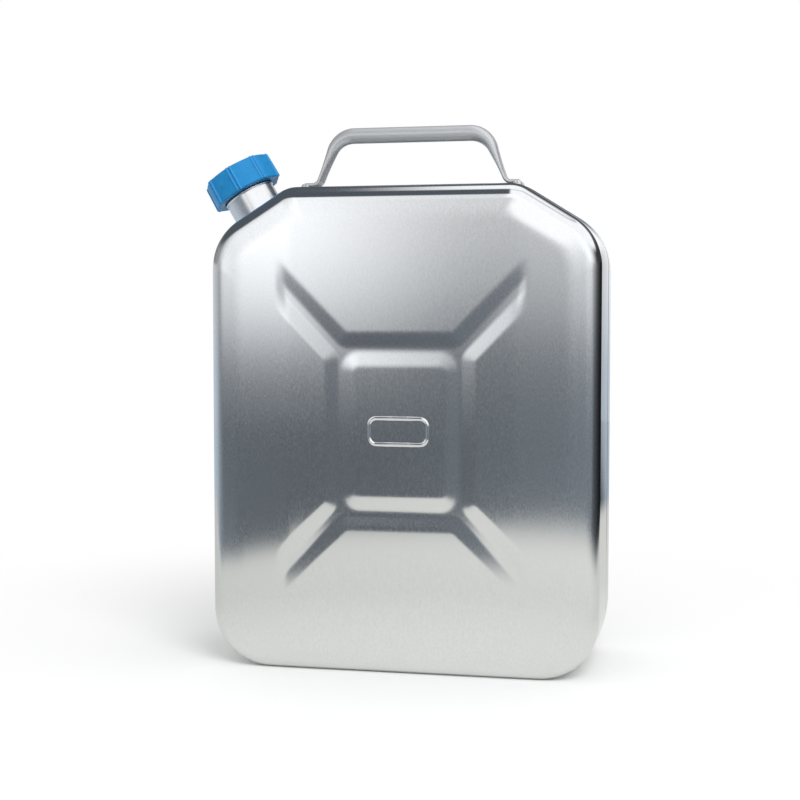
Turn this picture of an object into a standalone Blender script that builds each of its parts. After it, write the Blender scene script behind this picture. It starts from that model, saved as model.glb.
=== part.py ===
"""Welded aluminium fuel can with a screw cap, in metres, +Z up.

The can stands on z = 0 with its seam in the plane y = 0, and its front looks towards -Y. Two equal
pressings meet at the seam weld. The filler neck stands on the left shoulder, and the carry handle is
welded to the top.
"""
import math

import bmesh
import bpy
from mathutils import Matrix, Vector

# Clearance between touching pieces, and the sheet
GAP = 0.0003
WALL = 0.0015

# Can body, measured over the seam
BODY_WIDTH = 0.345
BODY_DEPTH = 0.150
BODY_HEIGHT = 0.4241
SHOULDER_RUN = 0.070
SHOULDER_DROP = 0.0435
BOTTOM_RADIUS = 0.052
SHOULDER_RADIUS = 0.050
TOP_RADIUS = 0.030
EDGE_RADIUS = 0.012
SIDE_DRAFT = 0.0025
TOP_DRAFT = 0.0020
SEAM_WIDTH = 0.004

# Pressed groove: a ring with an arm from each corner, measured to the middle of its sloping walls
GROOVE_DEPTH = 0.0006
GROOVE_WALL = 0.0100
GROOVE_CENTRE_Z = 0.2115
RING_HALF_WIDTH = 0.061
RING_HALF_HEIGHT = 0.0794
PAD_HALF_WIDTH = 0.045
PAD_HALF_HEIGHT = 0.0623
PAD_RADIUS = 0.011
ARM_WIDTH = 0.0194
ARM_ANGLE = math.radians(46.0)
ARM_REACH = 0.0750
ARM_ROOT_X = 0.0477
ARM_END_RADIUS = 0.0070
ARM_ROOT_RADIUS = 0.0080

# Filler neck, measured along its own axis from the shoulder
NECK_SHIFT = 0.0065
NECK_LEAN = math.radians(30.0)
NECK_RADIUS = 0.0233
NECK_BORE = 0.0200
NECK_BELOW = 0.005
NECK_LIP = 0.0006
WELD_LEG = 0.0045
WELD_MIDDLE = 0.0027

# Screw cap and its seal
CAP_BASE = 0.0280
CAP_HEIGHT = 0.0238
CAP_TOP_WALL = 0.0022
CAP_RADIUS = 0.0335
CAP_TAPER = 0.0006
CAP_LOBES = 8
CAP_TURN = math.radians(26.0)
RIDGE_WIDTH = 0.0016
RIDGE_PITCH = 0.0034
RIDGE_HEIGHT = 0.0013
CAP_CHAMFER = 0.0014
GASKET_THICKNESS = 0.0020

# Thread on the neck and in the cap
THREAD_PITCH = 0.005
THREAD_RIDGE = 0.0011
THREAD_CLEARANCE = 0.0004
THREAD_START = 0.0035

# Carry handle, a tube that is flattened towards its welded ends
HANDLE_SHIFT = -0.0038
HANDLE_FOOT_INSET = 0.0183
HANDLE_LEAN = math.radians(22.5)
HANDLE_TUBE = 0.0140
HANDLE_RISE = 0.0564
HANDLE_BEND = 0.0220
FOOT_THICKNESS = 0.0040
FOOT_LIFT = 0.0035
FOOT_WIDTH = 0.0195
FOOT_BEND = 0.0070
FOOT_TAB = 0.0065
HANDLE_WELD = 0.0035
HANDLE_WELD_ROUND = 0.0028
HANDLE_WELD_RUN = 0.0055
HANDLE_WELD_TOP = 0.0062

# Smoothness of the solids
CORNER_STEPS = 8
EDGE_STEPS = 5
ROUND_STEPS = 48
HELIX_STEPS = 24
TUBE_STEPS = 16
BEND_STEPS = 6
LEG_STEPS = 6
FOOT_STEPS = 5
BEAD_STEPS = 3

half_width = BODY_WIDTH / 2
top_half_width = half_width - SHOULDER_RUN
shoulder_length = math.hypot(SHOULDER_RUN, SHOULDER_DROP)
shoulder_down = Vector((-SHOULDER_RUN, 0.0, -SHOULDER_DROP)) / shoulder_length
seam_edge = SEAM_WIDTH / 2 + GAP
panel_y = -BODY_DEPTH / 2

neck_foot = Vector((-top_half_width, 0.0, BODY_HEIGHT)) + shoulder_down * (shoulder_length / 2 + NECK_SHIFT)
neck_frame = Matrix.Translation(neck_foot) @ Matrix.Rotation(-NECK_LEAN, 4, "Y")
gasket_top = CAP_BASE + CAP_HEIGHT - CAP_TOP_WALL - GAP
gasket_bottom = gasket_top - GASKET_THICKNESS
neck_top = gasket_bottom - GAP
thread_root = NECK_RADIUS - THREAD_RIDGE
cap_bore = NECK_RADIUS + THREAD_CLEARANCE
thread_low = CAP_BASE + THREAD_START
thread_rise = neck_top - THREAD_RIDGE - 3 * GAP - THREAD_PITCH / 2 - thread_low


def clear_scene():
    """Remove every object that is already there."""
    for obj in list(bpy.data.objects):
        bpy.data.objects.remove(obj, do_unlink=True)


def make_collection(name):
    collection = bpy.data.collections.new(name)
    bpy.context.scene.collection.children.link(collection)
    return collection


def make_material(name, colour, roughness, metallic):
    material = bpy.data.materials.new(name)
    material.use_nodes = True
    shader = material.node_tree.nodes["Principled BSDF"]
    shader.inputs["Base Color"].default_value = (*colour, 1.0)
    shader.inputs["Roughness"].default_value = roughness
    shader.inputs["Metallic"].default_value = metallic
    return material


def add_object(name, mesh, collection, material=None):
    obj = bpy.data.objects.new(name, mesh)
    collection.objects.link(obj)
    if material:
        mesh.materials.clear()
        mesh.materials.append(material)
    return obj


def hide_cutter(obj):
    obj.hide_render = True
    obj.display_type = "WIRE"
    return obj


def smooth(obj, angle=30.0):
    obj.data.shade_smooth()
    obj.data.set_sharp_from_angle(angle=math.radians(angle))
    return obj


def boolean(obj, other, operation):
    modifier = obj.modifiers.new(operation.lower(), "BOOLEAN")
    modifier.object = other
    modifier.operation = operation
    modifier.solver = "EXACT"
    return modifier


def applied_mesh(obj):
    """A new mesh with the object's modifiers and its place applied."""
    depsgraph = bpy.context.evaluated_depsgraph_get()
    depsgraph.update()
    mesh = bpy.data.meshes.new_from_object(obj.evaluated_get(depsgraph))
    mesh.transform(obj.matrix_world)
    return mesh


def offset_corners(corners, grow):
    """Move every side of a closed outline outwards by grow. A corner is (x, z, radius), counter-clockwise."""
    moved = []
    count = len(corners)
    for i, (x, z, radius) in enumerate(corners):
        here = Vector((x, z))
        into = (here - Vector(corners[i - 1][:2])).normalized()
        out = (Vector(corners[(i + 1) % count][:2]) - here).normalized()
        side_in = Vector((into.y, -into.x))
        side_out = Vector((out.y, -out.x))
        miter = (side_in + side_out) / (1.0 + side_in.dot(side_out))
        convex = into.x * out.y - into.y * out.x > 0
        new_radius = radius + grow if convex else radius - grow
        moved.append((*(here + miter * grow), max(GAP, new_radius) if radius else 0.0))
    return moved


def rounded(corners, steps=CORNER_STEPS):
    """Replace each corner that has a radius by an arc of equal steps."""
    points = []
    count = len(corners)
    for i, (x, z, radius) in enumerate(corners):
        here = Vector((x, z))
        if not radius:
            points.append(here)
            continue
        back = (Vector(corners[i - 1][:2]) - here).normalized()
        ahead = (Vector(corners[(i + 1) % count][:2]) - here).normalized()
        half_angle = back.angle(ahead) / 2
        centre = here + (back + ahead).normalized() * (radius / math.sin(half_angle))
        spoke = here + back * (radius / math.tan(half_angle)) - centre
        turn = math.pi - 2 * half_angle
        if back.x * ahead.y - back.y * ahead.x > 0:
            turn = -turn
        for step in range(steps + 1):
            points.append(centre + Matrix.Rotation(turn * step / steps, 2) @ spoke)
    return points


def ring_at(points, y):
    return [Vector((p.x, y, p.y)) for p in points]


def loft(name, rings, collection, material=None):
    """A closed solid through rings of equal count, with a flat face at each end."""
    bm = bmesh.new()
    rows = [[bm.verts.new(co) for co in ring] for ring in rings]
    count = len(rows[0])
    for low, high in zip(rows, rows[1:]):
        for i in range(count):
            j = (i + 1) % count
            bm.faces.new((low[i], low[j], high[j], high[i]))
    bm.faces.new(rows[0])
    bm.faces.new(rows[-1])
    bmesh.ops.recalc_face_normals(bm, faces=bm.faces)
    mesh = bpy.data.meshes.new(name)
    bm.to_mesh(mesh)
    bm.free()
    return add_object(name, mesh, collection, material)


def lathe(name, profile, frame, collection, material=None):
    """A profile of (radius, height), top to bottom on its outer side, turned round the frame's Z axis.

    It is closed into a ring, unless it starts and ends on the axis.
    """
    mesh = bpy.data.meshes.new(name)
    edges = [(i, i + 1) for i in range(len(profile) - 1)]
    if profile[0][0] > 0.0:
        edges.append((len(profile) - 1, 0))
    mesh.from_pydata([(r, 0.0, z) for r, z in profile], edges, [])
    obj = add_object(name, mesh, collection, material)
    obj.matrix_world = frame
    screw = obj.modifiers.new("turn", "SCREW")
    screw.steps = ROUND_STEPS
    screw.render_steps = ROUND_STEPS
    screw.use_merge_vertices = True
    screw.merge_threshold = 0.00001
    screw.use_smooth_shade = True
    return obj


def disc(name, radius, low, high, frame, collection, material=None):
    """A solid cylinder between two heights on the frame's Z axis."""
    bm = bmesh.new()
    bmesh.ops.create_cone(
        bm,
        cap_ends=True,
        segments=ROUND_STEPS,
        radius1=radius,
        radius2=radius,
        depth=high - low,
        matrix=Matrix.Translation((0.0, 0.0, (low + high) / 2)),
    )
    mesh = bpy.data.meshes.new(name)
    bm.to_mesh(mesh)
    bm.free()
    obj = add_object(name, mesh, collection, material)
    obj.matrix_world = frame
    return smooth(obj)


def helix(name, radius, low, rise, frame, collection):
    """The ridge of a right-hand thread: a round rod that climbs one pitch a turn."""
    curve = bpy.data.curves.new(name, "CURVE")
    curve.dimensions = "3D"
    curve.bevel_depth = THREAD_RIDGE
    curve.bevel_resolution = 2
    curve.use_fill_caps = True
    steps = max(4, round(HELIX_STEPS * rise / THREAD_PITCH))
    spline = curve.splines.new("POLY")
    spline.points.add(steps)
    for i, point in enumerate(spline.points):
        height = rise * i / steps
        angle = math.tau * height / THREAD_PITCH
        point.co = (radius * math.cos(angle), radius * math.sin(angle), low + height, 1.0)
    guide = bpy.data.objects.new(name, curve)
    collection.objects.link(guide)
    guide.matrix_world = frame
    bpy.context.view_layer.update()
    mesh = applied_mesh(guide)
    bpy.data.objects.remove(guide, do_unlink=True)
    bm = bmesh.new()
    bm.from_mesh(mesh)
    bmesh.ops.remove_doubles(bm, verts=bm.verts, dist=0.00001)
    bmesh.ops.recalc_face_normals(bm, faces=bm.faces)
    bm.to_mesh(mesh)
    bm.free()
    return hide_cutter(add_object(name, mesh, collection))


def body_corners(grow=0.0):
    """The can's outline from the front, counter-clockwise from the lower right."""
    right = [
        (half_width, 0.0, BOTTOM_RADIUS),
        (half_width, BODY_HEIGHT - SHOULDER_DROP, SHOULDER_RADIUS),
        (top_half_width, BODY_HEIGHT, TOP_RADIUS),
    ]
    left = [(-x, z, radius) for x, z, radius in reversed(right)]
    return offset_corners(right + left, grow)


def arm_corners():
    """The groove's outer outline: the ring with four arms, to the middle of the walls."""
    along = Vector((math.cos(ARM_ANGLE), math.sin(ARM_ANGLE)))
    across = Vector((along.y, -along.x))
    upper_root = Vector((ARM_ROOT_X, RING_HALF_HEIGHT))
    lower_line = upper_root + across * ARM_WIDTH
    lower_root = lower_line + along * ((RING_HALF_WIDTH - lower_line.x) / along.x)
    upper_tip = upper_root + along * ARM_REACH
    lower_tip = upper_tip + across * ARM_WIDTH
    quarter = [
        (*lower_root, ARM_ROOT_RADIUS),
        (*lower_tip, ARM_END_RADIUS),
        (*upper_tip, ARM_END_RADIUS),
        (*upper_root, ARM_ROOT_RADIUS),
    ]
    top = quarter + [(-x, z, radius) for x, z, radius in reversed(quarter)]
    return top + [(-x, -z, radius) for x, z, radius in top]


def pad_corners():
    """The raised pad inside the ring, to the middle of its walls."""
    right = [(PAD_HALF_WIDTH, -PAD_HALF_HEIGHT, PAD_RADIUS), (PAD_HALF_WIDTH, PAD_HALF_HEIGHT, PAD_RADIUS)]
    return right + [(-x, z, radius) for x, z, radius in reversed(right)]


def sloping_prism(name, corners, widens, collection):
    """A prism through the panel with the slope of the groove's wall, wider or narrower inwards."""
    rings = []
    spare = GROOVE_DEPTH / 5
    for depth in (-spare, GROOVE_DEPTH + (spare if widens else 0.0)):
        share = depth / GROOVE_DEPTH - 0.5
        grow = GROOVE_WALL * (share if widens else -share)
        points = rounded(offset_corners(corners, grow))
        rings.append([co + Vector((0.0, 0.0, GROOVE_CENTRE_Z)) for co in ring_at(points, panel_y + depth)])
    return hide_cutter(loft(name, rings, collection))


def drafted(points):
    """An outline as it is at the panel, where the wall's draft has made it narrower and lower."""
    narrower = 1 - SIDE_DRAFT / half_width
    lower = 1 - TOP_DRAFT / BODY_HEIGHT
    return [Vector((p.x * narrower, p.y * lower)) for p in points]


def make_body_block(cutters):
    """The whole body with its gap as one block, for cutting what is seated on it."""
    outline = rounded(body_corners(GAP))
    panel = drafted(outline)
    places = ((panel, panel_y), (outline, -seam_edge), (outline, seam_edge), (panel, -panel_y))
    return hide_cutter(loft("body_block", [ring_at(points, y) for points, y in places], cutters))


def make_pressing(cutters):
    """One half of the can as an open sheet: panel with its groove, rounded edge and drafted wall."""
    outline = rounded(body_corners())
    rings = [ring_at(outline, -seam_edge), ring_at(drafted(outline), panel_y)]
    block = loft("pressing_block", rings, cutters)
    bm = bmesh.new()
    bm.from_mesh(block.data)
    rim = [e for e in bm.edges if all(v.co.y < panel_y + GAP for v in e.verts)]
    bmesh.ops.bevel(bm, geom=rim, offset=EDGE_RADIUS, segments=EDGE_STEPS, profile=0.5, affect="EDGES")
    bm.to_mesh(block.data)
    bm.free()
    groove = sloping_prism("groove_outer", arm_corners(), False, cutters)
    boolean(groove, sloping_prism("groove_pad", pad_corners(), True, cutters), "DIFFERENCE")
    boolean(block, groove, "DIFFERENCE")
    bpy.context.view_layer.update()
    sheet = applied_mesh(block)
    bm = bmesh.new()
    bm.from_mesh(sheet)
    open_side = [f for f in bm.faces if f.calc_center_median().y > -seam_edge - GAP / 2]
    bmesh.ops.delete(bm, geom=open_side, context="FACES")
    bm.to_mesh(sheet)
    bm.free()
    bpy.data.objects.remove(block, do_unlink=True)
    return sheet


def make_shell(name, sheet, turn, hole, collection, material):
    """A pressing with its wall thickness, turned to its side of the seam, with half of the neck's hole."""
    shell = add_object(name, sheet, collection, material)
    shell.rotation_euler.z = turn
    solidify = shell.modifiers.new("wall", "SOLIDIFY")
    solidify.thickness = WALL
    solidify.offset = -1.0
    solidify.use_even_offset = True
    boolean(shell, hole, "DIFFERENCE")
    return smooth(shell)


def outline_prism(name, outlines, half_depth, collection, material=None):
    """Flat outlines in the XZ plane, filled and given a depth on both sides of the seam plane."""
    curve = bpy.data.curves.new(name, "CURVE")
    curve.dimensions = "2D"
    curve.fill_mode = "BOTH"
    curve.extrude = half_depth
    for points in outlines:
        spline = curve.splines.new("POLY")
        spline.points.add(len(points) - 1)
        spline.use_cyclic_u = True
        for target, p in zip(spline.points, points):
            target.co = (p.x, p.y, 0.0, 1.0)
    guide = bpy.data.objects.new(name, curve)
    collection.objects.link(guide)
    guide.rotation_euler.x = math.pi / 2
    bpy.context.view_layer.update()
    mesh = applied_mesh(guide)
    bpy.data.objects.remove(guide, do_unlink=True)
    bm = bmesh.new()
    bm.from_mesh(mesh)
    bmesh.ops.remove_doubles(bm, verts=bm.verts, dist=0.00001)
    bmesh.ops.recalc_face_normals(bm, faces=bm.faces)
    bm.to_mesh(mesh)
    bm.free()
    return add_object(name, mesh, collection, material)


def make_neck(collection, cutters, material):
    """Tube through the shoulder with a thin lip under the cap and a raised thread above it."""
    collar_top = CAP_BASE - 2 * GAP
    profile = [
        (NECK_BORE, neck_top),
        (thread_root, neck_top),
        (thread_root, collar_top),
        (NECK_RADIUS + NECK_LIP, collar_top),
        (NECK_RADIUS + NECK_LIP, collar_top - 2 * NECK_LIP),
        (NECK_RADIUS, collar_top - 3 * NECK_LIP),
        (NECK_RADIUS, -NECK_BELOW),
        (NECK_BORE, -NECK_BELOW),
    ]
    neck = lathe("filler_neck", profile, neck_frame, collection, material)
    boolean(neck, helix("neck_thread", thread_root, thread_low, thread_rise, neck_frame, cutters), "UNION")
    return neck


def make_neck_weld(body_block, collection, material):
    """Fillet bead round the neck's foot, seated on the shoulder. Its face bulges a little."""
    inner = NECK_RADIUS + GAP
    profile = [
        (inner, WELD_LEG),
        (inner + WELD_MIDDLE, WELD_MIDDLE),
        (inner + WELD_LEG, 0.0),
        (inner + WELD_LEG, -WELD_LEG),
        (inner, -WELD_LEG),
    ]
    weld = lathe("neck_weld", profile, neck_frame, collection, material)
    boolean(weld, body_block, "DIFFERENCE")
    return weld


def cap_outline(radius):
    """Flat grips with a pair of narrow ridges between each two."""
    foot = radius - RIDGE_HEIGHT
    points = []
    for lobe in range(CAP_LOBES):
        for side in (-1, 1):
            middle = CAP_TURN + math.tau * (lobe + 0.5) / CAP_LOBES + side * RIDGE_PITCH / 2 / radius
            for reach, share in ((foot, -1.0), (radius, -0.5), (radius, 0.5), (foot, 1.0)):
                angle = middle + share * RIDGE_WIDTH / 2 / radius
                points.append(Vector((reach * math.cos(angle), reach * math.sin(angle))))
    return points


def make_cap(collection, cutters, material):
    """Moulded cap: ridged skirt with chamfered rims, a bore with a raised thread, and a closed top."""
    rings = []
    for height, radius in ((CAP_BASE, CAP_RADIUS), (CAP_BASE + CAP_HEIGHT, CAP_RADIUS - CAP_TAPER)):
        rings.append([neck_frame @ Vector((p.x, p.y, height)) for p in cap_outline(radius)])
    cap = loft("screw_cap", rings, collection, material)
    top = CAP_BASE + CAP_HEIGHT
    clear = CAP_RADIUS + CAP_CHAMFER
    narrow = CAP_RADIUS - 2 * CAP_CHAMFER
    chamfered = [
        (0.0, top + CAP_CHAMFER),
        (narrow - CAP_TAPER, top + CAP_CHAMFER),
        (clear, top - CAP_TAPER - 2 * CAP_CHAMFER),
        (clear, CAP_BASE + 2 * CAP_CHAMFER),
        (narrow, CAP_BASE - CAP_CHAMFER),
        (0.0, CAP_BASE - CAP_CHAMFER),
    ]
    trim = hide_cutter(lathe("cap_trim", chamfered, neck_frame, cutters))
    hollow = disc("cap_hollow", cap_bore, CAP_BASE - CAP_CHAMFER, top - CAP_TOP_WALL, neck_frame, cutters)
    thread_base = thread_low + THREAD_PITCH / 2
    boolean(cap, trim, "INTERSECT")
    boolean(cap, hide_cutter(hollow), "DIFFERENCE")
    boolean(cap, helix("cap_thread", cap_bore, thread_base, thread_rise, neck_frame, cutters), "UNION")
    return cap


def bend(radius, turn, share):
    """Place and direction on an arc that starts level at the origin and turns downwards, in XZ."""
    angle = turn * share
    place = Vector((radius * math.sin(angle), -radius * (1.0 - math.cos(angle))))
    return place, Vector((math.cos(angle), -math.sin(angle)))


def handle_path():
    """Right half of the handle's centre line from the middle of the bar, and the length that flattens.

    Each entry is a place in XZ, its direction, and how much of the bend and the leg is left from there.
    """
    bar_z = BODY_HEIGHT + HANDLE_RISE - HANDLE_TUBE / 2
    tab_z = BODY_HEIGHT + FOOT_LIFT + FOOT_THICKNESS / 2
    turn = math.pi / 2 - HANDLE_LEAN
    foot_x = top_half_width - HANDLE_FOOT_INSET
    drop = (HANDLE_BEND + FOOT_BEND) * (1 - math.cos(turn))
    leg = (bar_z - tab_z - drop) / math.cos(HANDLE_LEAN)
    leg_end = Vector((foot_x, tab_z + FOOT_BEND * (1 - math.cos(turn))))
    level = Vector((1.0, 0.0))
    down = Vector((math.sin(HANDLE_LEAN), -math.cos(HANDLE_LEAN)))
    leg_start = leg_end - down * leg
    bend_start = Vector((leg_start.x - HANDLE_BEND * math.sin(turn), bar_z))
    tab_start = leg_end + Vector((FOOT_BEND * math.sin(turn), tab_z - leg_end.y))
    flattening = leg + HANDLE_BEND * turn
    path = [(Vector((0.0, bar_z)), level, flattening)]
    for step in range(BEND_STEPS + 1):
        share = step / BEND_STEPS
        offset, way = bend(HANDLE_BEND, turn, share)
        path.append((bend_start + offset, way, flattening - HANDLE_BEND * turn * share))
    for step in range(1, LEG_STEPS):
        share = step / LEG_STEPS
        path.append((leg_start + down * (leg * share), down, leg * (1.0 - share)))
    for step in range(FOOT_STEPS + 1):
        offset, way = bend(FOOT_BEND, turn, 1.0 - step / FOOT_STEPS)
        path.append((tab_start - offset, way, 0.0))
    path.append((tab_start + level * FOOT_TAB, level, 0.0))
    return path, flattening


def handle_rings(grow):
    """Sections of the handle from the left foot to the right one: round at the bar, flat at the feet."""
    right, flattening = handle_path()
    left = [(Vector((-place.x, place.y)), Vector((way.x, -way.y)), rest) for place, way, rest in right[1:]]
    rings = []
    for place, way, rest in list(reversed(left)) + right:
        share = rest / flattening
        roundness = share * share * (3.0 - 2.0 * share)
        thick = FOOT_THICKNESS + (HANDLE_TUBE - FOOT_THICKNESS) * roundness + 2 * grow
        wide = FOOT_WIDTH + (HANDLE_TUBE - FOOT_WIDTH) * roundness + 2 * grow
        squareness = 0.5 + 0.5 * roundness
        normal = Vector((way.y, -way.x))
        ring = []
        for i in range(TUBE_STEPS):
            angle = math.tau * i / TUBE_STEPS
            across = math.copysign(abs(math.cos(angle)) ** squareness, math.cos(angle)) * thick / 2
            point = place + normal * across
            ring.append(Vector((point.x + HANDLE_SHIFT, math.sin(angle) * wide / 2, point.y)))
        rings.append(ring)
    for end, outwards in ((0, -grow), (-1, grow)):
        rings[end] = [co + Vector((outwards, 0.0, 0.0)) for co in rings[end]]
    return rings


def make_handle_weld(name, side, handle_cutter, body_block, collection, material):
    """Bead round the sides and the end of one foot tab, seated on the top and the shoulder's bend."""
    right, _ = handle_path()
    tab_end = right[-1][0].x
    low_x = tab_end - HANDLE_WELD_RUN
    high_x = tab_end + HANDLE_WELD
    low_z = BODY_HEIGHT - HANDLE_WELD
    high_z = BODY_HEIGHT + HANDLE_WELD_TOP
    half_y = FOOT_WIDTH / 2 + HANDLE_WELD
    bm = bmesh.new()
    size = Matrix.Diagonal((high_x - low_x, 2 * half_y, high_z - low_z, 1.0))
    place = Matrix.Translation((side * (low_x + high_x) / 2 + HANDLE_SHIFT, 0.0, (low_z + high_z) / 2))
    bmesh.ops.create_cube(bm, size=1.0, matrix=place @ size)
    upper = [e for e in bm.edges if max(v.co.z for v in e.verts) > high_z - GAP / 2]
    bmesh.ops.bevel(
        bm, geom=upper, offset=HANDLE_WELD_ROUND, segments=BEAD_STEPS, profile=0.5, affect="EDGES"
    )
    bmesh.ops.recalc_face_normals(bm, faces=bm.faces)
    mesh = bpy.data.meshes.new(name)
    bm.to_mesh(mesh)
    bm.free()
    weld = add_object(name, mesh, collection, material)
    boolean(weld, handle_cutter, "DIFFERENCE")
    boolean(weld, body_block, "DIFFERENCE")
    return smooth(weld)


def main():
    clear_scene()
    parts = make_collection("fuel_can")
    cutters = make_collection("cutters")
    sheet_metal = make_material("rolled_aluminium", (0.77, 0.78, 0.79), 0.28, 1.0)
    bead_metal = make_material("weld_aluminium", (0.62, 0.63, 0.64), 0.42, 1.0)
    tube_metal = make_material("drawn_aluminium", (0.80, 0.80, 0.81), 0.22, 1.0)
    turned_metal = make_material("turned_aluminium", (0.80, 0.80, 0.80), 0.20, 1.0)
    blue_plastic = make_material("blue_plastic", (0.02, 0.20, 0.60), 0.32, 0.0)
    black_rubber = make_material("black_rubber", (0.03, 0.03, 0.03), 0.75, 0.0)

    body_block = make_body_block(cutters)
    reach = NECK_RADIUS + SHOULDER_DROP
    hole = disc("neck_hole", NECK_RADIUS + GAP, -reach / 2, reach / 2, neck_frame, cutters)
    hide_cutter(hole)

    sheet = make_pressing(cutters)
    make_shell("front_shell", sheet, 0.0, hole, parts, sheet_metal)
    make_shell("rear_shell", sheet, math.pi, hole, parts, sheet_metal)
    band = [rounded(body_corners()), rounded(body_corners(-WALL))]
    seam = outline_prism("seam_weld", band, SEAM_WIDTH / 2, parts, bead_metal)
    boolean(seam, hole, "DIFFERENCE")
    smooth(seam)

    make_neck(parts, cutters, turned_metal)
    make_neck_weld(body_block, parts, bead_metal)
    make_cap(parts, cutters, blue_plastic)
    disc("cap_gasket", thread_root, gasket_bottom, gasket_top, neck_frame, parts, black_rubber)

    smooth(loft("carry_handle", handle_rings(0.0), parts, tube_metal))
    handle_cutter = hide_cutter(loft("handle_cutter", handle_rings(GAP), cutters))
    make_handle_weld("handle_weld_left", -1, handle_cutter, body_block, parts, bead_metal)
    make_handle_weld("handle_weld_right", 1, handle_cutter, body_block, parts, bead_metal)


main()
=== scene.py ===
# %% [markdown]
# A welded aluminium fuel can, dressed around its CAD frame.
# Two pressings meet at a weld, a handle stands on top, and a neck with a blue screw cap leans to the left.
# Every visible piece is a surface worked out with numpy: a point for each pair of two parameters.
# The CAD model is the frame. It says where each piece is, in metres, with +Z up and the front towards -Y.

import math

import bpy
import numpy as np
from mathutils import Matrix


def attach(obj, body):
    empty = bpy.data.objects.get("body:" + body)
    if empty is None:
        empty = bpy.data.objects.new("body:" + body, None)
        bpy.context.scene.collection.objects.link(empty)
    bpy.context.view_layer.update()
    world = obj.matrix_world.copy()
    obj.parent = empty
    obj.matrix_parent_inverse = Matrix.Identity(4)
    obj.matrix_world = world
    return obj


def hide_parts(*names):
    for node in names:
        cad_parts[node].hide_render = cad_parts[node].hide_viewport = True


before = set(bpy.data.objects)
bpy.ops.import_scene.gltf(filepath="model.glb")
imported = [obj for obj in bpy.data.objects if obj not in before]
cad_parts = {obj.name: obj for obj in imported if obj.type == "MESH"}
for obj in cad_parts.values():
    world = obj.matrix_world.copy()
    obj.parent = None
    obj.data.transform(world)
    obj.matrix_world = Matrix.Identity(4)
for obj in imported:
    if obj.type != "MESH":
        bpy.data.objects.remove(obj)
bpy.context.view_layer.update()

# %% [markdown]
# The photographer stood a little to the right of the can, with the lens at about two thirds of its height.
# A camera is best fitted with few numbers: a turn round the can, a distance, a height, and a small tilt.
# The focal length is given in pixels of an image 800 pixels wide, as it was measured there.

# %% Camera
CAMERA_TURN = math.radians(11.12)
CAMERA_DISTANCE = 1.2843
CAMERA_HEIGHT = 0.3090
CAMERA_PITCH = math.radians(3.316)
CAMERA_YAW = math.radians(0.644)
FOCAL_PIXELS = 1417.0
IMAGE_PIXELS = 800.0

camera_data = bpy.data.cameras.new("camera")
camera_data.sensor_width = 36.0
camera_data.lens = FOCAL_PIXELS / IMAGE_PIXELS * camera_data.sensor_width
camera = bpy.data.objects.new("camera", camera_data)
camera.location = (
    CAMERA_DISTANCE * math.sin(CAMERA_TURN),
    -CAMERA_DISTANCE * math.cos(CAMERA_TURN),
    CAMERA_HEIGHT,
)
camera.rotation_euler = (math.pi / 2 - CAMERA_PITCH, 0.0, CAMERA_TURN + CAMERA_YAW)
bpy.context.scene.collection.objects.link(camera)
bpy.context.scene.camera = camera
bpy.context.scene.view_settings.view_transform = "Standard"
print("camera at", [round(value, 4) for value in camera.location], "lens", round(camera_data.lens, 2), "mm")

# %% [markdown]
# Every material here is a small graph of nodes, so a few helpers keep the graphs short. They add a node, do a
# sum, stretch a range, blend colours or shaders, read a ramp or a noise, and start a material.

# %% Helpers for node graphs
def add_node(tree, kind, **settings):
    node = tree.nodes.new(kind)
    for name, value in settings.items():
        setattr(node, name, value)
    return node


def feed(tree, socket, value):
    """Link an output into the socket, or write a plain number or colour on it."""
    if isinstance(value, bpy.types.NodeSocket):
        tree.links.new(value, socket)
    else:
        socket.default_value = value


def maths(tree, operation, *values):
    node = add_node(tree, "ShaderNodeMath", operation=operation)
    for socket, value in zip(node.inputs, values):
        feed(tree, socket, value)
    return node.outputs[0]


def remap(tree, value, low, high, out_low=0.0, out_high=1.0, smooth=False):
    """Stretch value from one range to another and hold it at the ends, with an S-shaped rise if smooth."""
    node = add_node(tree, "ShaderNodeMapRange", interpolation_type="SMOOTHSTEP" if smooth else "LINEAR")
    for socket, number in zip(node.inputs, (value, low, high, out_low, out_high)):
        feed(tree, socket, number)
    return node.outputs[0]


def blend_colour(tree, factor, first, second):
    node = add_node(tree, "ShaderNodeMix", data_type="RGBA")
    feed(tree, node.inputs["Factor"], factor)
    feed(tree, node.inputs["A"], first)
    feed(tree, node.inputs["B"], second)
    return node.outputs["Result"]


def colour_ramp(tree, factor, stops):
    """Colour along a list of (place from 0 to 1, colour), in straight lines between the stops."""
    node = add_node(tree, "ShaderNodeValToRGB")
    elements = node.color_ramp.elements
    elements.remove(elements[1])
    for i, (place, colour) in enumerate(stops):
        element = elements[0] if i == 0 else elements.new(place)
        element.position = place
        element.color = (*colour, 1.0)
    feed(tree, node.inputs[0], factor)
    return node.outputs[0]


def mix_shaders(tree, factor, first, second):
    """The first shader where the factor is 0, and the second where it is 1."""
    node = add_node(tree, "ShaderNodeMixShader")
    for socket, value in zip(node.inputs, (factor, first, second)):
        feed(tree, socket, value)
    return node.outputs[0]


def object_noise(tree, scale, detail=2.0, stretch=(1.0, 1.0, 1.0)):
    """Noise on Object coordinates, so that it stays on its piece, stretched along the axes where asked."""
    mapping = add_node(tree, "ShaderNodeMapping")
    mapping.inputs["Scale"].default_value = stretch
    tree.links.new(add_node(tree, "ShaderNodeTexCoord").outputs["Object"], mapping.inputs["Vector"])
    noise = add_node(tree, "ShaderNodeTexNoise")
    noise.inputs["Scale"].default_value = scale
    noise.inputs["Detail"].default_value = detail
    tree.links.new(mapping.outputs[0], noise.inputs["Vector"])
    return noise.outputs["Fac"]


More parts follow.
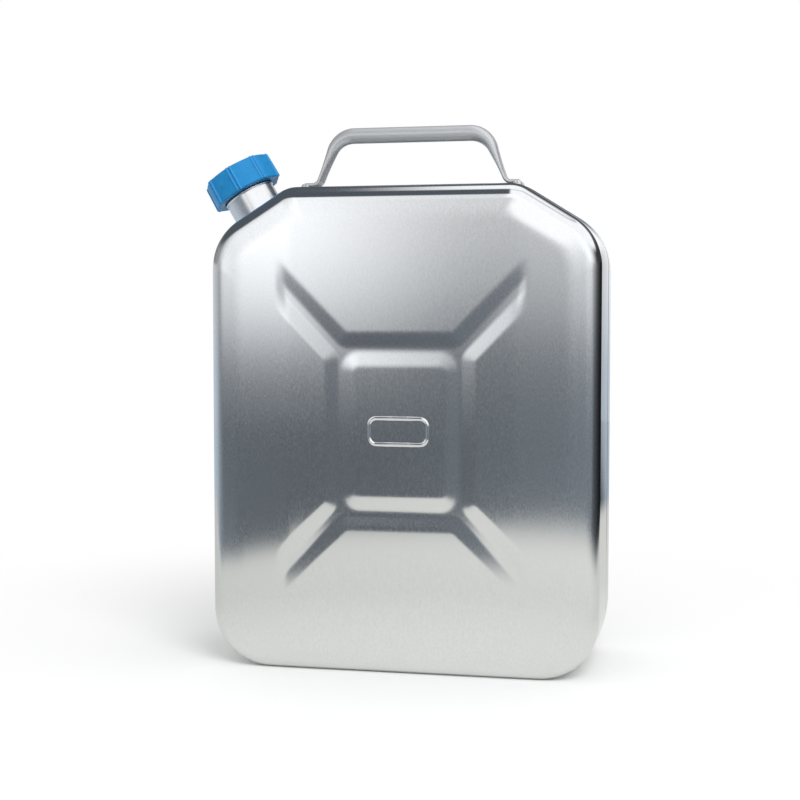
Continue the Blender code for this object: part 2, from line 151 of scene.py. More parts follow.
def new_material(name):
    """A new material, its graph and its main shader."""
    material = bpy.data.materials.new(name)
    material.use_nodes = True
    return material, material.node_tree, material.node_tree.nodes["Principled BSDF"]


print("node helpers are ready")

# %% [markdown]
# A polished can has almost no look of its own: what it shows is its surroundings.
# In a studio it stands on a pale table in a tent of light and dark cloths.
# The metal of this one shows a pale wall above the horizon, a dark band from there down to the table's edge,
# and the pale table. The world paints that tent for glossy rays, by height above the horizon and by turn
# round the can. The horizon isn't quite level: in front it bends up by less than a degree.

# %% Walls and horizon
def turn_stops(levels, tint=(1.0, 1.0, 1.0)):
    """Stops for a ramp over the turn round the can, from (degrees, level), 0 in front and + to the right."""
    return [((turn + 180.0) / 360.0, tuple(level * part for part in tint)) for turn, level in levels]


world = bpy.data.worlds.new("studio")
bpy.context.scene.world = world
world.use_nodes = True
sky = world.node_tree
sky.nodes.clear()
direction = add_node(sky, "ShaderNodeSeparateXYZ")
sky.links.new(add_node(sky, "ShaderNodeTexCoord").outputs["Generated"], direction.inputs[0])
to_right, to_back, upwards = direction.outputs
rise = maths(sky, "MULTIPLY", maths(sky, "ARCSINE", upwards), math.degrees(1.0))
turn = maths(sky, "ARCTAN2", to_right, maths(sky, "MULTIPLY", to_back, -1.0))
turn_share = remap(sky, turn, -math.pi, math.pi)

WALL_LEVELS = [
    (-180, 1.00), (-120, 0.75), (-90, 0.65), (-60, 0.55), (-40, 0.50), (-30, 0.80), (-25, 1.10), (-20, 1.42),
    (-18, 1.42), (-16.4, 1.36), (-14.4, 1.18), (-12, 0.93), (-10.6, 0.82), (-9.3, 0.70), (-8, 0.66),
    (-6, 0.66), (-3, 0.70), (0, 0.85), (5, 1.05), (30, 1.00), (41, 0.83), (50, 0.55), (60, 0.41), (69, 0.31),
    (79, 0.17), (90, 0.10), (118, 0.02), (150, 0.02), (160, 0.10), (168, 0.65), (180, 1.00),
]
BAND_LEVELS = [
    (-180, 0.70), (-100, 0.65), (-67, 0.50), (-54, 0.35), (-40, 0.28), (-28, 0.17), (-19, 0.15), (-12, 0.15),
    (-5, 0.18), (8, 0.235), (45, 0.24), (50, 0.20), (60, 0.12), (69, 0.085), (79, 0.07), (90, 0.05),
    (103, 0.03), (118, 0.015), (150, 0.01), (160, 0.03), (168, 0.46), (180, 0.60),
]
HIGH_LEVELS = [
    (-180, 0.12), (-150, 0.20), (-60, 0.40), (-30, 0.90), (-20, 1.30), (-16, 1.20), (-12, 1.02), (-8, 0.90),
    (-5, 1.10), (-3, 1.30), (30, 1.30), (50, 0.90), (65, 0.45), (80, 0.12), (95, 0.05), (155, 0.05),
    (164, 1.10), (176, 1.10), (180, 0.12),
]
HORIZON_SHARES = [
    (-7.0, 0.0), (-4.0, 0.02), (-2.4, 0.07), (-1.4, 0.20), (-0.1, 0.49), (1.15, 0.73), (2.2, 0.86), (3.5, 1.0),
]
HORIZON_LIFTS = [
    (-180, 0.2), (-24, 0.2), (-12, 0.3), (-9.5, -0.6), (-8, -0.7), (-6, -0.4), (8, 0.0), (180, 0.0),
]
LOW_RISE, HIGH_RISE = -8.0, 4.0
HIGH_WALL_RISE = (4.6, 8.0)
WALL_TINT = (0.99, 1.0, 1.02)
BAND_TINT = (0.88, 1.0, 1.14)

pale_wall = colour_ramp(sky, turn_share, turn_stops(WALL_LEVELS, WALL_TINT))
dark_band = colour_ramp(sky, turn_share, turn_stops(BAND_LEVELS, BAND_TINT))
high_wall = colour_ramp(sky, turn_share, turn_stops(HIGH_LEVELS, WALL_TINT))
# A ramp holds nothing below 0, so the lift is written 1 too high and 1 is taken off again.
lift = colour_ramp(sky, turn_share, turn_stops([(side, step + 1.0) for side, step in HORIZON_LIFTS]))
lifted = maths(sky, "SUBTRACT", maths(sky, "ADD", rise, lift), 1.0)
near_horizon = remap(sky, lifted, LOW_RISE, HIGH_RISE)
shares = [((angle - LOW_RISE) / (HIGH_RISE - LOW_RISE), (share,) * 3) for angle, share in HORIZON_SHARES]
tent = blend_colour(sky, colour_ramp(sky, near_horizon, shares), dark_band, pale_wall)
tent = blend_colour(sky, remap(sky, rise, *HIGH_WALL_RISE, smooth=True), tent, high_wall)
print("walls have", len(WALL_LEVELS) + len(BAND_LEVELS) + len(HIGH_LEVELS), "levels")

# %% [markdown]
# Above the walls hangs a dark ceiling with a pale gap, which gives the can's upper edges and its top their
# lights. The gap is on the right in front, wider overhead, and ends where the back cloth starts.
# A dimmer line runs across it where two cloths meet.
# The camera sees plain white, and matt surfaces get plain even light.

# %% Ceiling and plain light
CEILING_RISE = (17.0, 27.0)
FRONT_GAP = (-0.05, 0.04)
TOP_GAP = (-0.25, -0.15)
OVERHEAD_RISE = (60.0, 72.0)
BACK_CLOTH = (0.0, 0.2)
CLOTHS_MEET = 60.0
MEETING_REACH = (1.0, 4.5)
MEETING_LEVEL = 0.55
CEILING_COLOUR = (0.095, 0.11, 0.13, 1.0)
GAP_COLOUR = (1.20, 1.21, 1.23, 1.0)
EVEN_LIGHT = 0.80

front_gap = remap(sky, to_right, *FRONT_GAP, smooth=True)
top_gap = remap(sky, to_right, *TOP_GAP, smooth=True)
overhead = remap(sky, rise, *OVERHEAD_RISE, smooth=True)
gap = maths(sky, "ADD", maths(sky, "MULTIPLY", front_gap, maths(sky, "SUBTRACT", 1.0, overhead)),
            maths(sky, "MULTIPLY", top_gap, overhead))
past_cloth = maths(sky, "SUBTRACT", to_back, remap(sky, upwards, 0.3, 0.6, -0.05, 0.25))
gap = maths(sky, "MULTIPLY", gap, remap(sky, past_cloth, *BACK_CLOTH, 1.0, 0.0, smooth=True))
off_line = maths(sky, "ABSOLUTE", maths(sky, "SUBTRACT", rise, CLOTHS_MEET))
gap = maths(sky, "MULTIPLY", gap, remap(sky, off_line, *MEETING_REACH, MEETING_LEVEL, 1.0, smooth=True))
ceiling = blend_colour(sky, gap, CEILING_COLOUR, GAP_COLOUR)
tent = blend_colour(sky, remap(sky, rise, *CEILING_RISE, smooth=True), tent, ceiling)

ray = add_node(sky, "ShaderNodeLightPath")
seen_white = maths(sky, "MAXIMUM", ray.outputs["Is Camera Ray"], ray.outputs["Is Transmission Ray"])
light = blend_colour(sky, ray.outputs["Is Diffuse Ray"], tent, (EVEN_LIGHT, EVEN_LIGHT, EVEN_LIGHT, 1.0))
background = add_node(sky, "ShaderNodeBackground")
feed(sky, background.inputs["Color"], blend_colour(sky, seen_white, light, (1.0, 1.0, 1.0, 1.0)))
sky.links.new(background.outputs[0], add_node(sky, "ShaderNodeOutputWorld").inputs[0])
print("world has", len(sky.nodes), "nodes")

# %% [markdown]
# The table is a plain pale floor. The metal sees it lighter near the can: painted light, standing for the pale
# light the can throws on it.
# Its edge lies 0.7 to 1.4 m away. Its distance and its softness follow the turn round the can, because the
# pale reflection low on the can ends in a slanting line that is softer on one side.
# Past the edge, glossy rays find the dark room with the levels of the world's band, while the camera sees the
# floor go on in white.

# %% Floor
TABLE_EDGE = [
    (-180, 1.20), (-90, 1.40), (-67, 0.87), (-45, 0.71), (-30, 0.72), (-26, 0.775), (-23, 0.79), (-20.5, 0.94),
    (-11, 0.94), (6, 0.97), (40, 0.92), (60, 0.87), (90, 0.78), (120, 0.85), (180, 1.20),
]
EDGE_BLUR = [(-180, 0.12), (-22, 0.10), (-19, 0.05), (-7, 0.05), (4, 0.25), (30, 0.20), (180, 0.12)]
FLOOR_SIZE = 6.0
LIT_TABLE = (0.91, 0.92, 0.89, 1.0)
PLAIN_TABLE = (0.70, 0.705, 0.68, 1.0)
LIT_REACH = (0.12, 0.45)
WHITE_REACH = (0.20, 0.75)
ROOM_TINT = (0.82, 0.94, 1.07)

floor_mesh = bpy.data.meshes.new("floor")
half_floor = FLOOR_SIZE / 2
square = [(x * half_floor, y * half_floor, 0.0) for x, y in ((-1, -1), (1, -1), (1, 1), (-1, 1))]
floor_mesh.from_pydata(square, [], [(0, 1, 2, 3)])
floor = bpy.data.objects.new("floor", floor_mesh)
bpy.context.scene.collection.objects.link(floor)

floor_material, tree, _ = new_material("pale_floor")
tree.nodes.clear()
place = add_node(tree, "ShaderNodeTexCoord").outputs["Object"]
sides = add_node(tree, "ShaderNodeSeparateXYZ")
feed(tree, sides.inputs[0], place)
floor_turn = maths(tree, "ARCTAN2", sides.outputs[0], maths(tree, "MULTIPLY", sides.outputs[1], -1.0))
floor_share = remap(tree, floor_turn, -math.pi, math.pi)
distance = add_node(tree, "ShaderNodeVectorMath", operation="LENGTH")
feed(tree, distance.inputs[0], place)
from_can = distance.outputs["Value"]
edge = colour_ramp(tree, floor_share, turn_stops(TABLE_EDGE))
blur = colour_ramp(tree, floor_share, turn_stops(EDGE_BLUR))
blur_start, blur_end = maths(tree, "SUBTRACT", edge, blur), maths(tree, "ADD", edge, blur)
past_edge = remap(tree, from_can, blur_start, blur_end, smooth=True)
table_top = add_node(tree, "ShaderNodeBsdfDiffuse")
# Painted light: the table's colour is lighter near the can, where the can's pale light falls on it.
painted_light_table_colour = blend_colour(tree, remap(tree, from_can, *LIT_REACH), LIT_TABLE, PLAIN_TABLE)
feed(tree, table_top.inputs["Color"], painted_light_table_colour)
room = add_node(tree, "ShaderNodeEmission")
feed(tree, room.inputs["Color"], colour_ramp(tree, floor_share, turn_stops(BAND_LEVELS, ROOM_TINT)))
for_metal = mix_shaders(tree, past_edge, table_top.outputs[0], room.outputs[0])
near_top = add_node(tree, "ShaderNodeBsdfDiffuse")
near_top.inputs["Color"].default_value = (1.0, 1.0, 1.0, 1.0)
white = add_node(tree, "ShaderNodeEmission")
past_shadow = remap(tree, from_can, *WHITE_REACH, smooth=True)
for_camera = mix_shaders(tree, past_shadow, near_top.outputs[0], white.outputs[0])
is_camera = add_node(tree, "ShaderNodeLightPath").outputs["Is Camera Ray"]
both = mix_shaders(tree, is_camera, for_metal, for_camera)
feed(tree, add_node(tree, "ShaderNodeOutputMaterial").inputs[0], both)
floor_mesh.materials.append(floor_material)
nearest_edge = min(reach for _, reach in TABLE_EDGE)
print("floor is", FLOOR_SIZE, "m wide, and the table ends", nearest_edge, "m away or more")

# %% [markdown]
# One large soft lamp stands high on the right in front, so that the cap and the floor have a soft direction.
# It is hidden from glossy rays, because the tent already gives the metal its lights.

# %% Lamp
LAMP_SIZE = 1.2
LAMP_POWER = 22.0
LAMP_PLACE = (0.9, -1.5, 1.6)
lamp_data = bpy.data.lights.new("soft_key", "AREA")
lamp_data.shape = "DISK"
lamp_data.size = LAMP_SIZE
lamp_data.energy = LAMP_POWER
lamp = bpy.data.objects.new("soft_key", lamp_data)
lamp.location = LAMP_PLACE
lamp.rotation_euler = lamp.location.to_track_quat("Z", "Y").to_euler()
lamp.visible_glossy = False
bpy.context.scene.collection.objects.link(lamp)
print("lamp at", LAMP_PLACE)

# %% [markdown]
# Each new piece is a grid of points: rows go along the piece, and columns go round it.
# A helper turns the grid into a mesh. A row that has shrunk to a point is closed with a fan of triangles.
# The volume under the faces tells whether they point outwards, and the helper turns them if they don't.

# %% Helper for surfaces
def corner_volume(points, faces):
    """Six times the signed volume under triangles: each one's corners give a box product with the origin."""
    a, b, c = (points[faces[:, i]] for i in range(3))
    return float(np.einsum("ij,ij->i", a, np.cross(b, c)).sum())


def make_piece(name, grid, material, body, replaces=(), end="pole"):
    """A mesh from grid[row, column, xyz] whose columns wrap.

    Quads join neighbours. End says what closes the first and last row: "pole" is a fan to each row's middle,
    and "join" is quads from the last row to the first.
    """
    rows, columns = grid.shape[:2]
    points = grid.reshape(-1, 3)
    first = np.arange(rows - 1 if end == "pole" else rows)[:, None] * columns
    second = (first + columns) % (rows * columns)
    here = np.arange(columns)[None, :]
    ahead = (here + 1) % columns
    quads = np.stack((first + here, first + ahead, second + ahead, second + here), axis=-1).reshape(-1, 4)
    fans = np.zeros((0, 3), int)
    if end == "pole":
        column = np.arange(columns)
        after = (column + 1) % columns
        last = (rows - 1) * columns
        low_pole, high_pole = len(points), len(points) + 1
        points = np.vstack((points, grid[0].mean(axis=0), grid[-1].mean(axis=0)))
        low_fan = np.stack((after, column, np.full(columns, low_pole)), axis=-1)
        high_fan = np.stack((last + column, last + after, np.full(columns, high_pole)), axis=-1)
        fans = np.vstack((low_fan, high_fan))
    triangles = np.vstack((quads[:, :3], quads[:, [0, 2, 3]], fans))
    if corner_volume(points - points.mean(axis=0), triangles) < 0:
        quads, fans = quads[:, ::-1], fans[:, ::-1]
    mesh = bpy.data.meshes.new(name)
    mesh.vertices.add(len(points))
    mesh.vertices.foreach_set("co", points.astype(np.float32).ravel())
    corners = np.concatenate((quads.ravel(), fans.ravel())).astype(np.int32)
    sizes = np.concatenate((np.full(len(quads), 4), np.full(len(fans), 3))).astype(np.int32)
    mesh.loops.add(len(corners))
    mesh.loops.foreach_set("vertex_index", corners)
    mesh.polygons.add(len(sizes))
    mesh.polygons.foreach_set("loop_start", np.concatenate(([0], np.cumsum(sizes)[:-1])).astype(np.int32))
    mesh.update(calc_edges=True)
    mesh.shade_smooth()
    mesh.materials.append(material)
    piece = bpy.data.objects.new(name, mesh)
    bpy.context.scene.collection.objects.link(piece)
    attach(piece, body)
    if replaces:
        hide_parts(*replaces)
    print(name, "has", len(sizes) * 2 - len(fans), "triangles")
    return piece


print("surface helper is ready")

# %% [markdown]
# The can's skin is rolled aluminium sheet: almost a mirror from top to bottom, and blurred sideways by fine
# upright grain. A metallic shader of low roughness gives that, and stretched noise varies its colour and
# roughness a little, so the grain shows in the dark reflections as it does on the real sheet.
# The weld is rougher and finely bumped. The welds and the handle look satin beside the sheet, so a share of
# their light meets a matt oxide skin.

# %% Metals
def metal_material(name, colour, roughness, stretch, grain, spread, bump=0.0, mirror_share=1.0):
    """Metal with grain: noise stretched along an axis varies the colour by grain and the roughness by spread,
    and bumps the surface. What a mirror share below 1 leaves goes to a matt oxide skin."""
    material, tree, shader = new_material(name)
    shader.inputs["Metallic"].default_value = mirror_share
    fine = object_noise(tree, 1.0, 3.0, stretch)
    tinted = add_node(tree, "ShaderNodeVectorMath", operation="SCALE")
    tinted.inputs[0].default_value = colour
    feed(tree, tinted.inputs["Scale"], remap(tree, fine, 0.25, 0.75, 1.0 - grain, 1.0 + grain))
    feed(tree, shader.inputs["Base Color"], tinted.outputs[0])
    feed(tree, shader.inputs["Roughness"], remap(tree, fine, 0.3, 0.7, roughness, roughness + spread))
    if bump:
        bumps = add_node(tree, "ShaderNodeBump")
        bumps.inputs["Distance"].default_value = bump
        feed(tree, bumps.inputs["Height"], fine)
        tree.links.new(bumps.outputs[0], shader.inputs["Normal"])
    return material


SHEET_GRAIN = (1000.0, 1000.0, 400.0)
WELD_GRAIN = (500.0, 500.0, 500.0)
TUBE_GRAIN = (60.0, 700.0, 700.0)
NECK_GRAIN = (400.0, 400.0, 400.0)
rolled_sheet = metal_material("rolled_sheet", (0.77, 0.78, 0.785), 0.075, SHEET_GRAIN, 0.06, 0.04)
weld_bead = metal_material("weld_bead", (0.70, 0.71, 0.72), 0.30, WELD_GRAIN, 0.08, 0.10, 0.00002, 0.6)
drawn_tube = metal_material("drawn_tube", (0.63, 0.64, 0.65), 0.38, TUBE_GRAIN, 0.03, 0.05, mirror_share=0.55)
turned_neck = metal_material("turned_neck", (0.80, 0.80, 0.81), 0.20, NECK_GRAIN, 0.05, 0.08)
print("metals are ready")

# %% [markdown]
# The body's outline is a rectangle with two sloping shoulders and a radius at each corner.
# The sizes repeat those of the CAD source, because a dressed piece has to lie where its solid lies.
# The outline is drawn as lines and arcs and then cut into even steps, each with its outward direction.

# %% Body outline
HALF_WIDTH = 0.1725
BODY_DEPTH = 0.150
BODY_HEIGHT = 0.4241
SHOULDER_RUN = 0.070
SHOULDER_DROP = 0.0435
BOTTOM_RADIUS = 0.052
SHOULDER_RADIUS = 0.050
TOP_RADIUS = 0.030
ARC_STEPS = 24


def line_length(line):
    """Length of a closed line up to each of its points, and last the whole of it."""
    sides = np.diff(np.vstack((line, line[:1])), axis=0)
    return np.concatenate(([0.0], np.cumsum(np.linalg.norm(sides, axis=1))))


def read_line(steps, length, line):
    """Values of a closed line at steps along its length, straight between its points."""
    closed = np.vstack((line, line[:1]))
    return np.stack([np.interp(steps, length, closed[:, i]) for i in range(2)], -1)


def even_outline(corners, count):
    """A rounded polygon as count points at even steps of its length, and the outward direction at each.

    A corner (x, z, radius) becomes an arc. Its centre lies on the corner's bisector, radius / sin(half angle)
    from the corner. Points and directions are then read off at even lengths.
    """
    corners = np.array(corners, float)
    places, ways = [], []
    for before, corner, after in zip(np.roll(corners, 1, 0), corners, np.roll(corners, -1, 0)):
        back = (before[:2] - corner[:2]) / np.linalg.norm(before[:2] - corner[:2])
        ahead = (after[:2] - corner[:2]) / np.linalg.norm(after[:2] - corner[:2])
        half_angle = math.acos(np.clip(back @ ahead, -1.0, 1.0)) / 2
        inwards = (back + ahead) / np.linalg.norm(back + ahead)
        convex = back[0] * ahead[1] - back[1] * ahead[0] < 0
        centre = corner[:2] + inwards * corner[2] / math.sin(half_angle)
        side = 1.0 if convex else -1.0
        swing = side * (math.pi / 2 - half_angle) * np.linspace(-1.0, 1.0, ARC_STEPS + 1)
        cosine, sine = np.cos(swing)[:, None], np.sin(swing)[:, None]
        spoke = -inwards * cosine + np.array((inwards[1], -inwards[0])) * sine
        places.append(centre + spoke * corner[2])
        ways.append(spoke * side)
    places, ways = np.vstack(places), np.vstack(ways)
    length = line_length(places)
    steps = np.arange(count) / count * length[-1]
    out = read_line(steps, length, ways)
    return read_line(steps, length, places), out / np.linalg.norm(out, axis=1, keepdims=True)


TOP_HALF_WIDTH = HALF_WIDTH - SHOULDER_RUN
RIGHT_CORNERS = [
    (HALF_WIDTH, 0.0, BOTTOM_RADIUS),
    (HALF_WIDTH, BODY_HEIGHT - SHOULDER_DROP, SHOULDER_RADIUS),
    (TOP_HALF_WIDTH, BODY_HEIGHT, TOP_RADIUS),
]
BODY_CORNERS = RIGHT_CORNERS + [(-x, z, radius) for x, z, radius in reversed(RIGHT_CORNERS)]
SHELL_COLUMNS = 480
outline, outwards = even_outline(BODY_CORNERS, SHELL_COLUMNS)
print("outline runs from", np.round(outline.min(axis=0), 4), "to", np.round(outline.max(axis=0), 4))

# %% [markdown]
# What is pressed into the panel is worked out as a height field: the depth at a point depends only on how far
# it lies inside a drawn line. That takes two functions, one for the distance and one that makes a wall of it.
# A wall is a straight ramp with rounded ends, which gives it an even tone.

# %% Distance and ramp
def inside_distance(x, z, line):
    """How far points lie inside a closed line, negative outside: the least distance to its sides, signed by
    the even-odd rule. The loop runs over the line's sides, and each pass treats all points at once."""
    least = np.full(x.shape, np.inf)
    inside = np.zeros(x.shape, bool)
    for (ax, az), (bx, bz) in zip(line, np.roll(line, -1, 0)):
        ex, ez = bx - ax, bz - az
        share = np.clip(((x - ax) * ex + (z - az) * ez) / (ex * ex + ez * ez), 0.0, 1.0)
        least = np.minimum(least, (x - ax - share * ex) ** 2 + (z - az - share * ez) ** 2)
        if ez:
            inside ^= ((az > z) != (bz > z)) & (x < ax + ex * (z - az) / ez)
    return np.sqrt(least) * np.where(inside, 1.0, -1.0)


def rounded_ramp(reach, width, rounding):
    """From 0 to 1 over the width, centred on 0. It is a straight ramp averaged over the rounding, which
    replaces its two corners by parabolas."""

    def area(s):
        corner = np.where(s > -rounding / 2, (s + rounding / 2) ** 2 / (2 * rounding), 0.0)
        return np.where(s > rounding / 2, s, corner)

    return (area(reach + width / 2) - area(reach - width / 2)) / width


print("half way up a wall, the ramp is at", float(rounded_ramp(0.0, 1.0, 0.2)))

# %% [markdown]
# The front carries a shallow pressed groove: a rectangular ring round a flat pad, with an arm to each corner.
# One line runs round the ring and its arms, and another round the pad. The two walls nearly meet over a narrow
# floor, and the arms run out at an upright line on each side.

# %% Groove
GROOVE_DEPTH = 0.00055
GROOVE_WALL = 0.0120
WALL_ROUNDING = 0.0028
GROOVE_CENTRE_Z = 0.2115
RING_HALF_WIDTH = 0.060
RING_HALF_HEIGHT = 0.0786
PAD_HALF_WIDTH = 0.046
PAD_HALF_HEIGHT = 0.0623
PAD_RADIUS = 0.011
ARM_WIDTH = 0.0185
ARM_ANGLE = math.radians(46.0)
ARM_REACH = 0.1040
ARM_ROOT_X = 0.0486
ARM_END_X = 0.1055
ARM_FADE_WIDTH = 0.009
ARM_END_RADIUS = 0.0070
ARM_ROOT_RADIUS = 0.0080
GROOVE_POINTS = 600


def arm_corners():
    """Corners of the ring with its four arms, to the middle of the walls: one quarter, mirrored twice."""
    along = np.array((math.cos(ARM_ANGLE), math.sin(ARM_ANGLE)))
    across = np.array((along[1], -along[0]))
    upper_root = np.array((ARM_ROOT_X, RING_HALF_HEIGHT))
    lower_line = upper_root + across * ARM_WIDTH
    lower_root = lower_line + along * ((RING_HALF_WIDTH - lower_line[0]) / along[0])
    upper_tip = upper_root + along * ARM_REACH
    lower_tip = upper_tip + across * ARM_WIDTH
    quarter = [
        (*lower_root, ARM_ROOT_RADIUS),
        (*lower_tip, ARM_END_RADIUS),
        (*upper_tip, ARM_END_RADIUS),
        (*upper_root, ARM_ROOT_RADIUS),
    ]
    top = quarter + [(-x, z, radius) for x, z, radius in reversed(quarter)]
    return top + [(-x, -z, radius) for x, z, radius in top]


def box_corners(half_width, half_height, radius):
    return [(x * half_width, z * half_height, radius) for x, z in ((1, -1), (1, 1), (-1, 1), (-1, -1))]


groove_line, _ = even_outline(arm_corners(), GROOVE_POINTS)
pad_line, _ = even_outline(box_corners(PAD_HALF_WIDTH, PAD_HALF_HEIGHT, PAD_RADIUS), GROOVE_POINTS // 3)
print("groove spans", np.round(np.ptp(groove_line, axis=0), 4))

# %% [markdown]
# In the middle of the pad the real can carries a small raised mark. Here its place holds a plain raised bead
# that frames a blank field. It is part of the same height field.

# %% Raised frame
MARK_HALF_WIDTH = 0.0255
MARK_HALF_HEIGHT = 0.0112
MARK_RADIUS = 0.0065
MARK_X = -0.001
MARK_Z = 0.0
BEAD_WIDTH = 0.0026
BEAD_RISE = 0.0006
mark_line, _ = even_outline(box_corners(MARK_HALF_WIDTH, MARK_HALF_HEIGHT, MARK_RADIUS), GROOVE_POINTS // 3)


def panel_depth(x, z):
    """How far the panel lies behind its plane: the groove's ramp times its depth, faded out past an upright
    line on each side, less the bead's round top."""
    arms = inside_distance(x, z, groove_line)
    pad = inside_distance(x, z, pad_line)
    fade = rounded_ramp(ARM_END_X - np.abs(x), ARM_FADE_WIDTH, ARM_FADE_WIDTH / 3)
    depth = GROOVE_DEPTH * fade * rounded_ramp(np.minimum(arms, -pad), GROOVE_WALL, WALL_ROUNDING)
    off_line = np.abs(inside_distance(x - MARK_X, z - MARK_Z, mark_line))
    bead = np.cos(np.pi / 2 * np.clip(off_line / (BEAD_WIDTH / 2), 0.0, 1.0)) ** 2
    return depth - BEAD_RISE * bead


print("bead frame is", 2 * MARK_HALF_WIDTH, "by", 2 * MARK_HALF_HEIGHT, "m")

# %% [markdown]
# Near its border the panel is slightly crowned, as sheet is that was drawn over a die, so its edge catches
# more light. Past an upright line on each side it falls back by one degree: a very faint crease.
# A quarter circle joins panel and wall, and it ends where it meets the crown's slope.

# %% Crown and creases
EDGE_RADIUS = 0.012
CROWN_ANGLE = math.radians(3.5)
CROWN_EVEN = 0.010
CROWN_WIDTH = 0.020
CROWN_SHARES = [(-90, 0.2), (-60, 0.3), (0, 0.6), (30, 0.9), (58, 1.0), (75, 0.6), (90, 0.25)]
CREASE_X = 0.0983
CREASE_ANGLE = math.radians(1.0)
CREASE_SOFTNESS = 0.0015

facing = np.degrees(np.arctan2(outwards[:, 1], np.abs(outwards[:, 0])))
crown_slope = math.tan(CROWN_ANGLE) * np.interp(facing, *np.transpose(CROWN_SHARES))
crown_drop = crown_slope * (CROWN_EVEN + CROWN_WIDTH) / 2


def crease_depth(x):
    """How far the panel falls back past the two upright creases: a slope with a softened start."""
    past = np.abs(x) - CREASE_X
    softened = CREASE_SOFTNESS * np.exp(-np.abs(past) / CREASE_SOFTNESS) / 2
    return math.tan(CREASE_ANGLE) * (np.clip(past, 0.0, None) + softened)


plane_y = -BODY_DEPTH / 2 + BEAD_RISE
rim_y = plane_y + crown_drop + crease_depth(outline[:, 0] - outwards[:, 0] * EDGE_RADIUS)
edge_end = math.pi / 2 - np.arctan(crown_slope)
edge_middle_y = rim_y + EDGE_RADIUS * np.sin(edge_end)
print("crown drops by", round(float(crown_drop.min()), 5), "to", round(float(crown_drop.max()), 5), "m")

# %% [markdown]
# The side walls bow a little, because the die has draft. The neck's hole is opened in them without cutting a
# face: a map of complex numbers turns a straight border into one with a half circle in it, so the rows near
# the seam simply bend round the neck.

# %% Side walls
SEAM_EDGE = 0.0023
SIDE_DRAFT = 0.0025
TOP_DRAFT = 0.0020
HOLE_RADIUS = 0.0241
HOLE_BLEND = (0.012, 0.058)
HOLE_RUN = (0.050, 0.130)
outline_length = line_length(outline)


def drafted(line, y):
    """The outline narrowed with the square of its distance from the seam, as drawn walls bow a little."""
    share = np.reshape((-SEAM_EDGE - y) / (BODY_DEPTH / 2 - SEAM_EDGE), (-1, 1)) ** 2
    return line * (1.0 - np.array((SIDE_DRAFT / HALF_WIDTH, TOP_DRAFT / BODY_HEIGHT)) * share)


def ring(line, y):
    """A row of points on a flat line in XZ, all at the depth y, or each at its own."""
    return np.stack((line[:, 0], np.broadcast_to(y, len(line)), line[:, 1]), axis=-1)


def wall_ring(distance, hole_at, inset):
    """One row of the side wall, at a distance from the seam, bent round the neck's hole.

    With s along the outline from the hole's middle and t from the seam, s + it goes to half of itself plus
    the root of its square less four squared radii. The shift fades out away from the seam, and past two radii
    along it. The columns nearest to two radii are put there, so that the border meets the seam in a sharp
    corner. Inset moves the row inwards.
    """
    total = outline_length[-1]
    corner = 2 * HOLE_RADIUS
    along = (outline_length[:-1] - hole_at + total / 2) % total - total / 2
    at_corner = np.abs(np.abs(along) - corner) < total / SHELL_COLUMNS / 2
    along = np.where(at_corner, np.sign(along) * corner, along)
    flat = along + 1j * distance
    root = np.sqrt(flat - corner + 0j) * np.sqrt(flat + corner + 0j)
    fade = np.interp(distance, HOLE_BLEND, (1.0, 0.0)) * np.interp(np.abs(along), HOLE_RUN, (1.0, 0.0))
    bent = flat + (root - flat) / 2 * fade
    places = (bent.real + hole_at) % total
    y = -SEAM_EDGE - bent.imag
    line = drafted(read_line(places, outline_length, outline), y)
    return ring(line - read_line(places, outline_length, outwards) * inset, y)


print("walls are", round(float(outline_length[-1]), 4), "m round")

# %% [markdown]
# One shell is a single grid. Seen as a path, it starts in the middle of the inner side, runs out to the wall,
# along it to the seam, back along the outside, round the rounded edge and over the panel to its middle.

# %% Shell surface
WALL_THICKNESS = 0.0015
WALL_ROWS = 26
EDGE_ROWS = 14
INNER_EDGE_ROWS = 6
OUTER_ROWS = 78
MARK_ROWS = 56
MARK_SHARE = 0.20
PANEL_MIDDLE = np.array((0.0, GROOVE_CENTRE_Z))


def edge_ring(angle, inset):
    """One row of the rounded edge. At 0 it lies on the wall, and at a right angle it faces the front.

    The quarter circle's centre lies a radius inside the wall and behind the panel. Inset moves the skin in.
    """
    radius = EDGE_RADIUS - inset
    sunk = EDGE_RADIUS - radius * np.cos(angle)
    line = drafted(outline, edge_middle_y) - outwards * np.reshape(sunk, (-1, 1))
    return ring(line, edge_middle_y - radius * np.sin(angle))


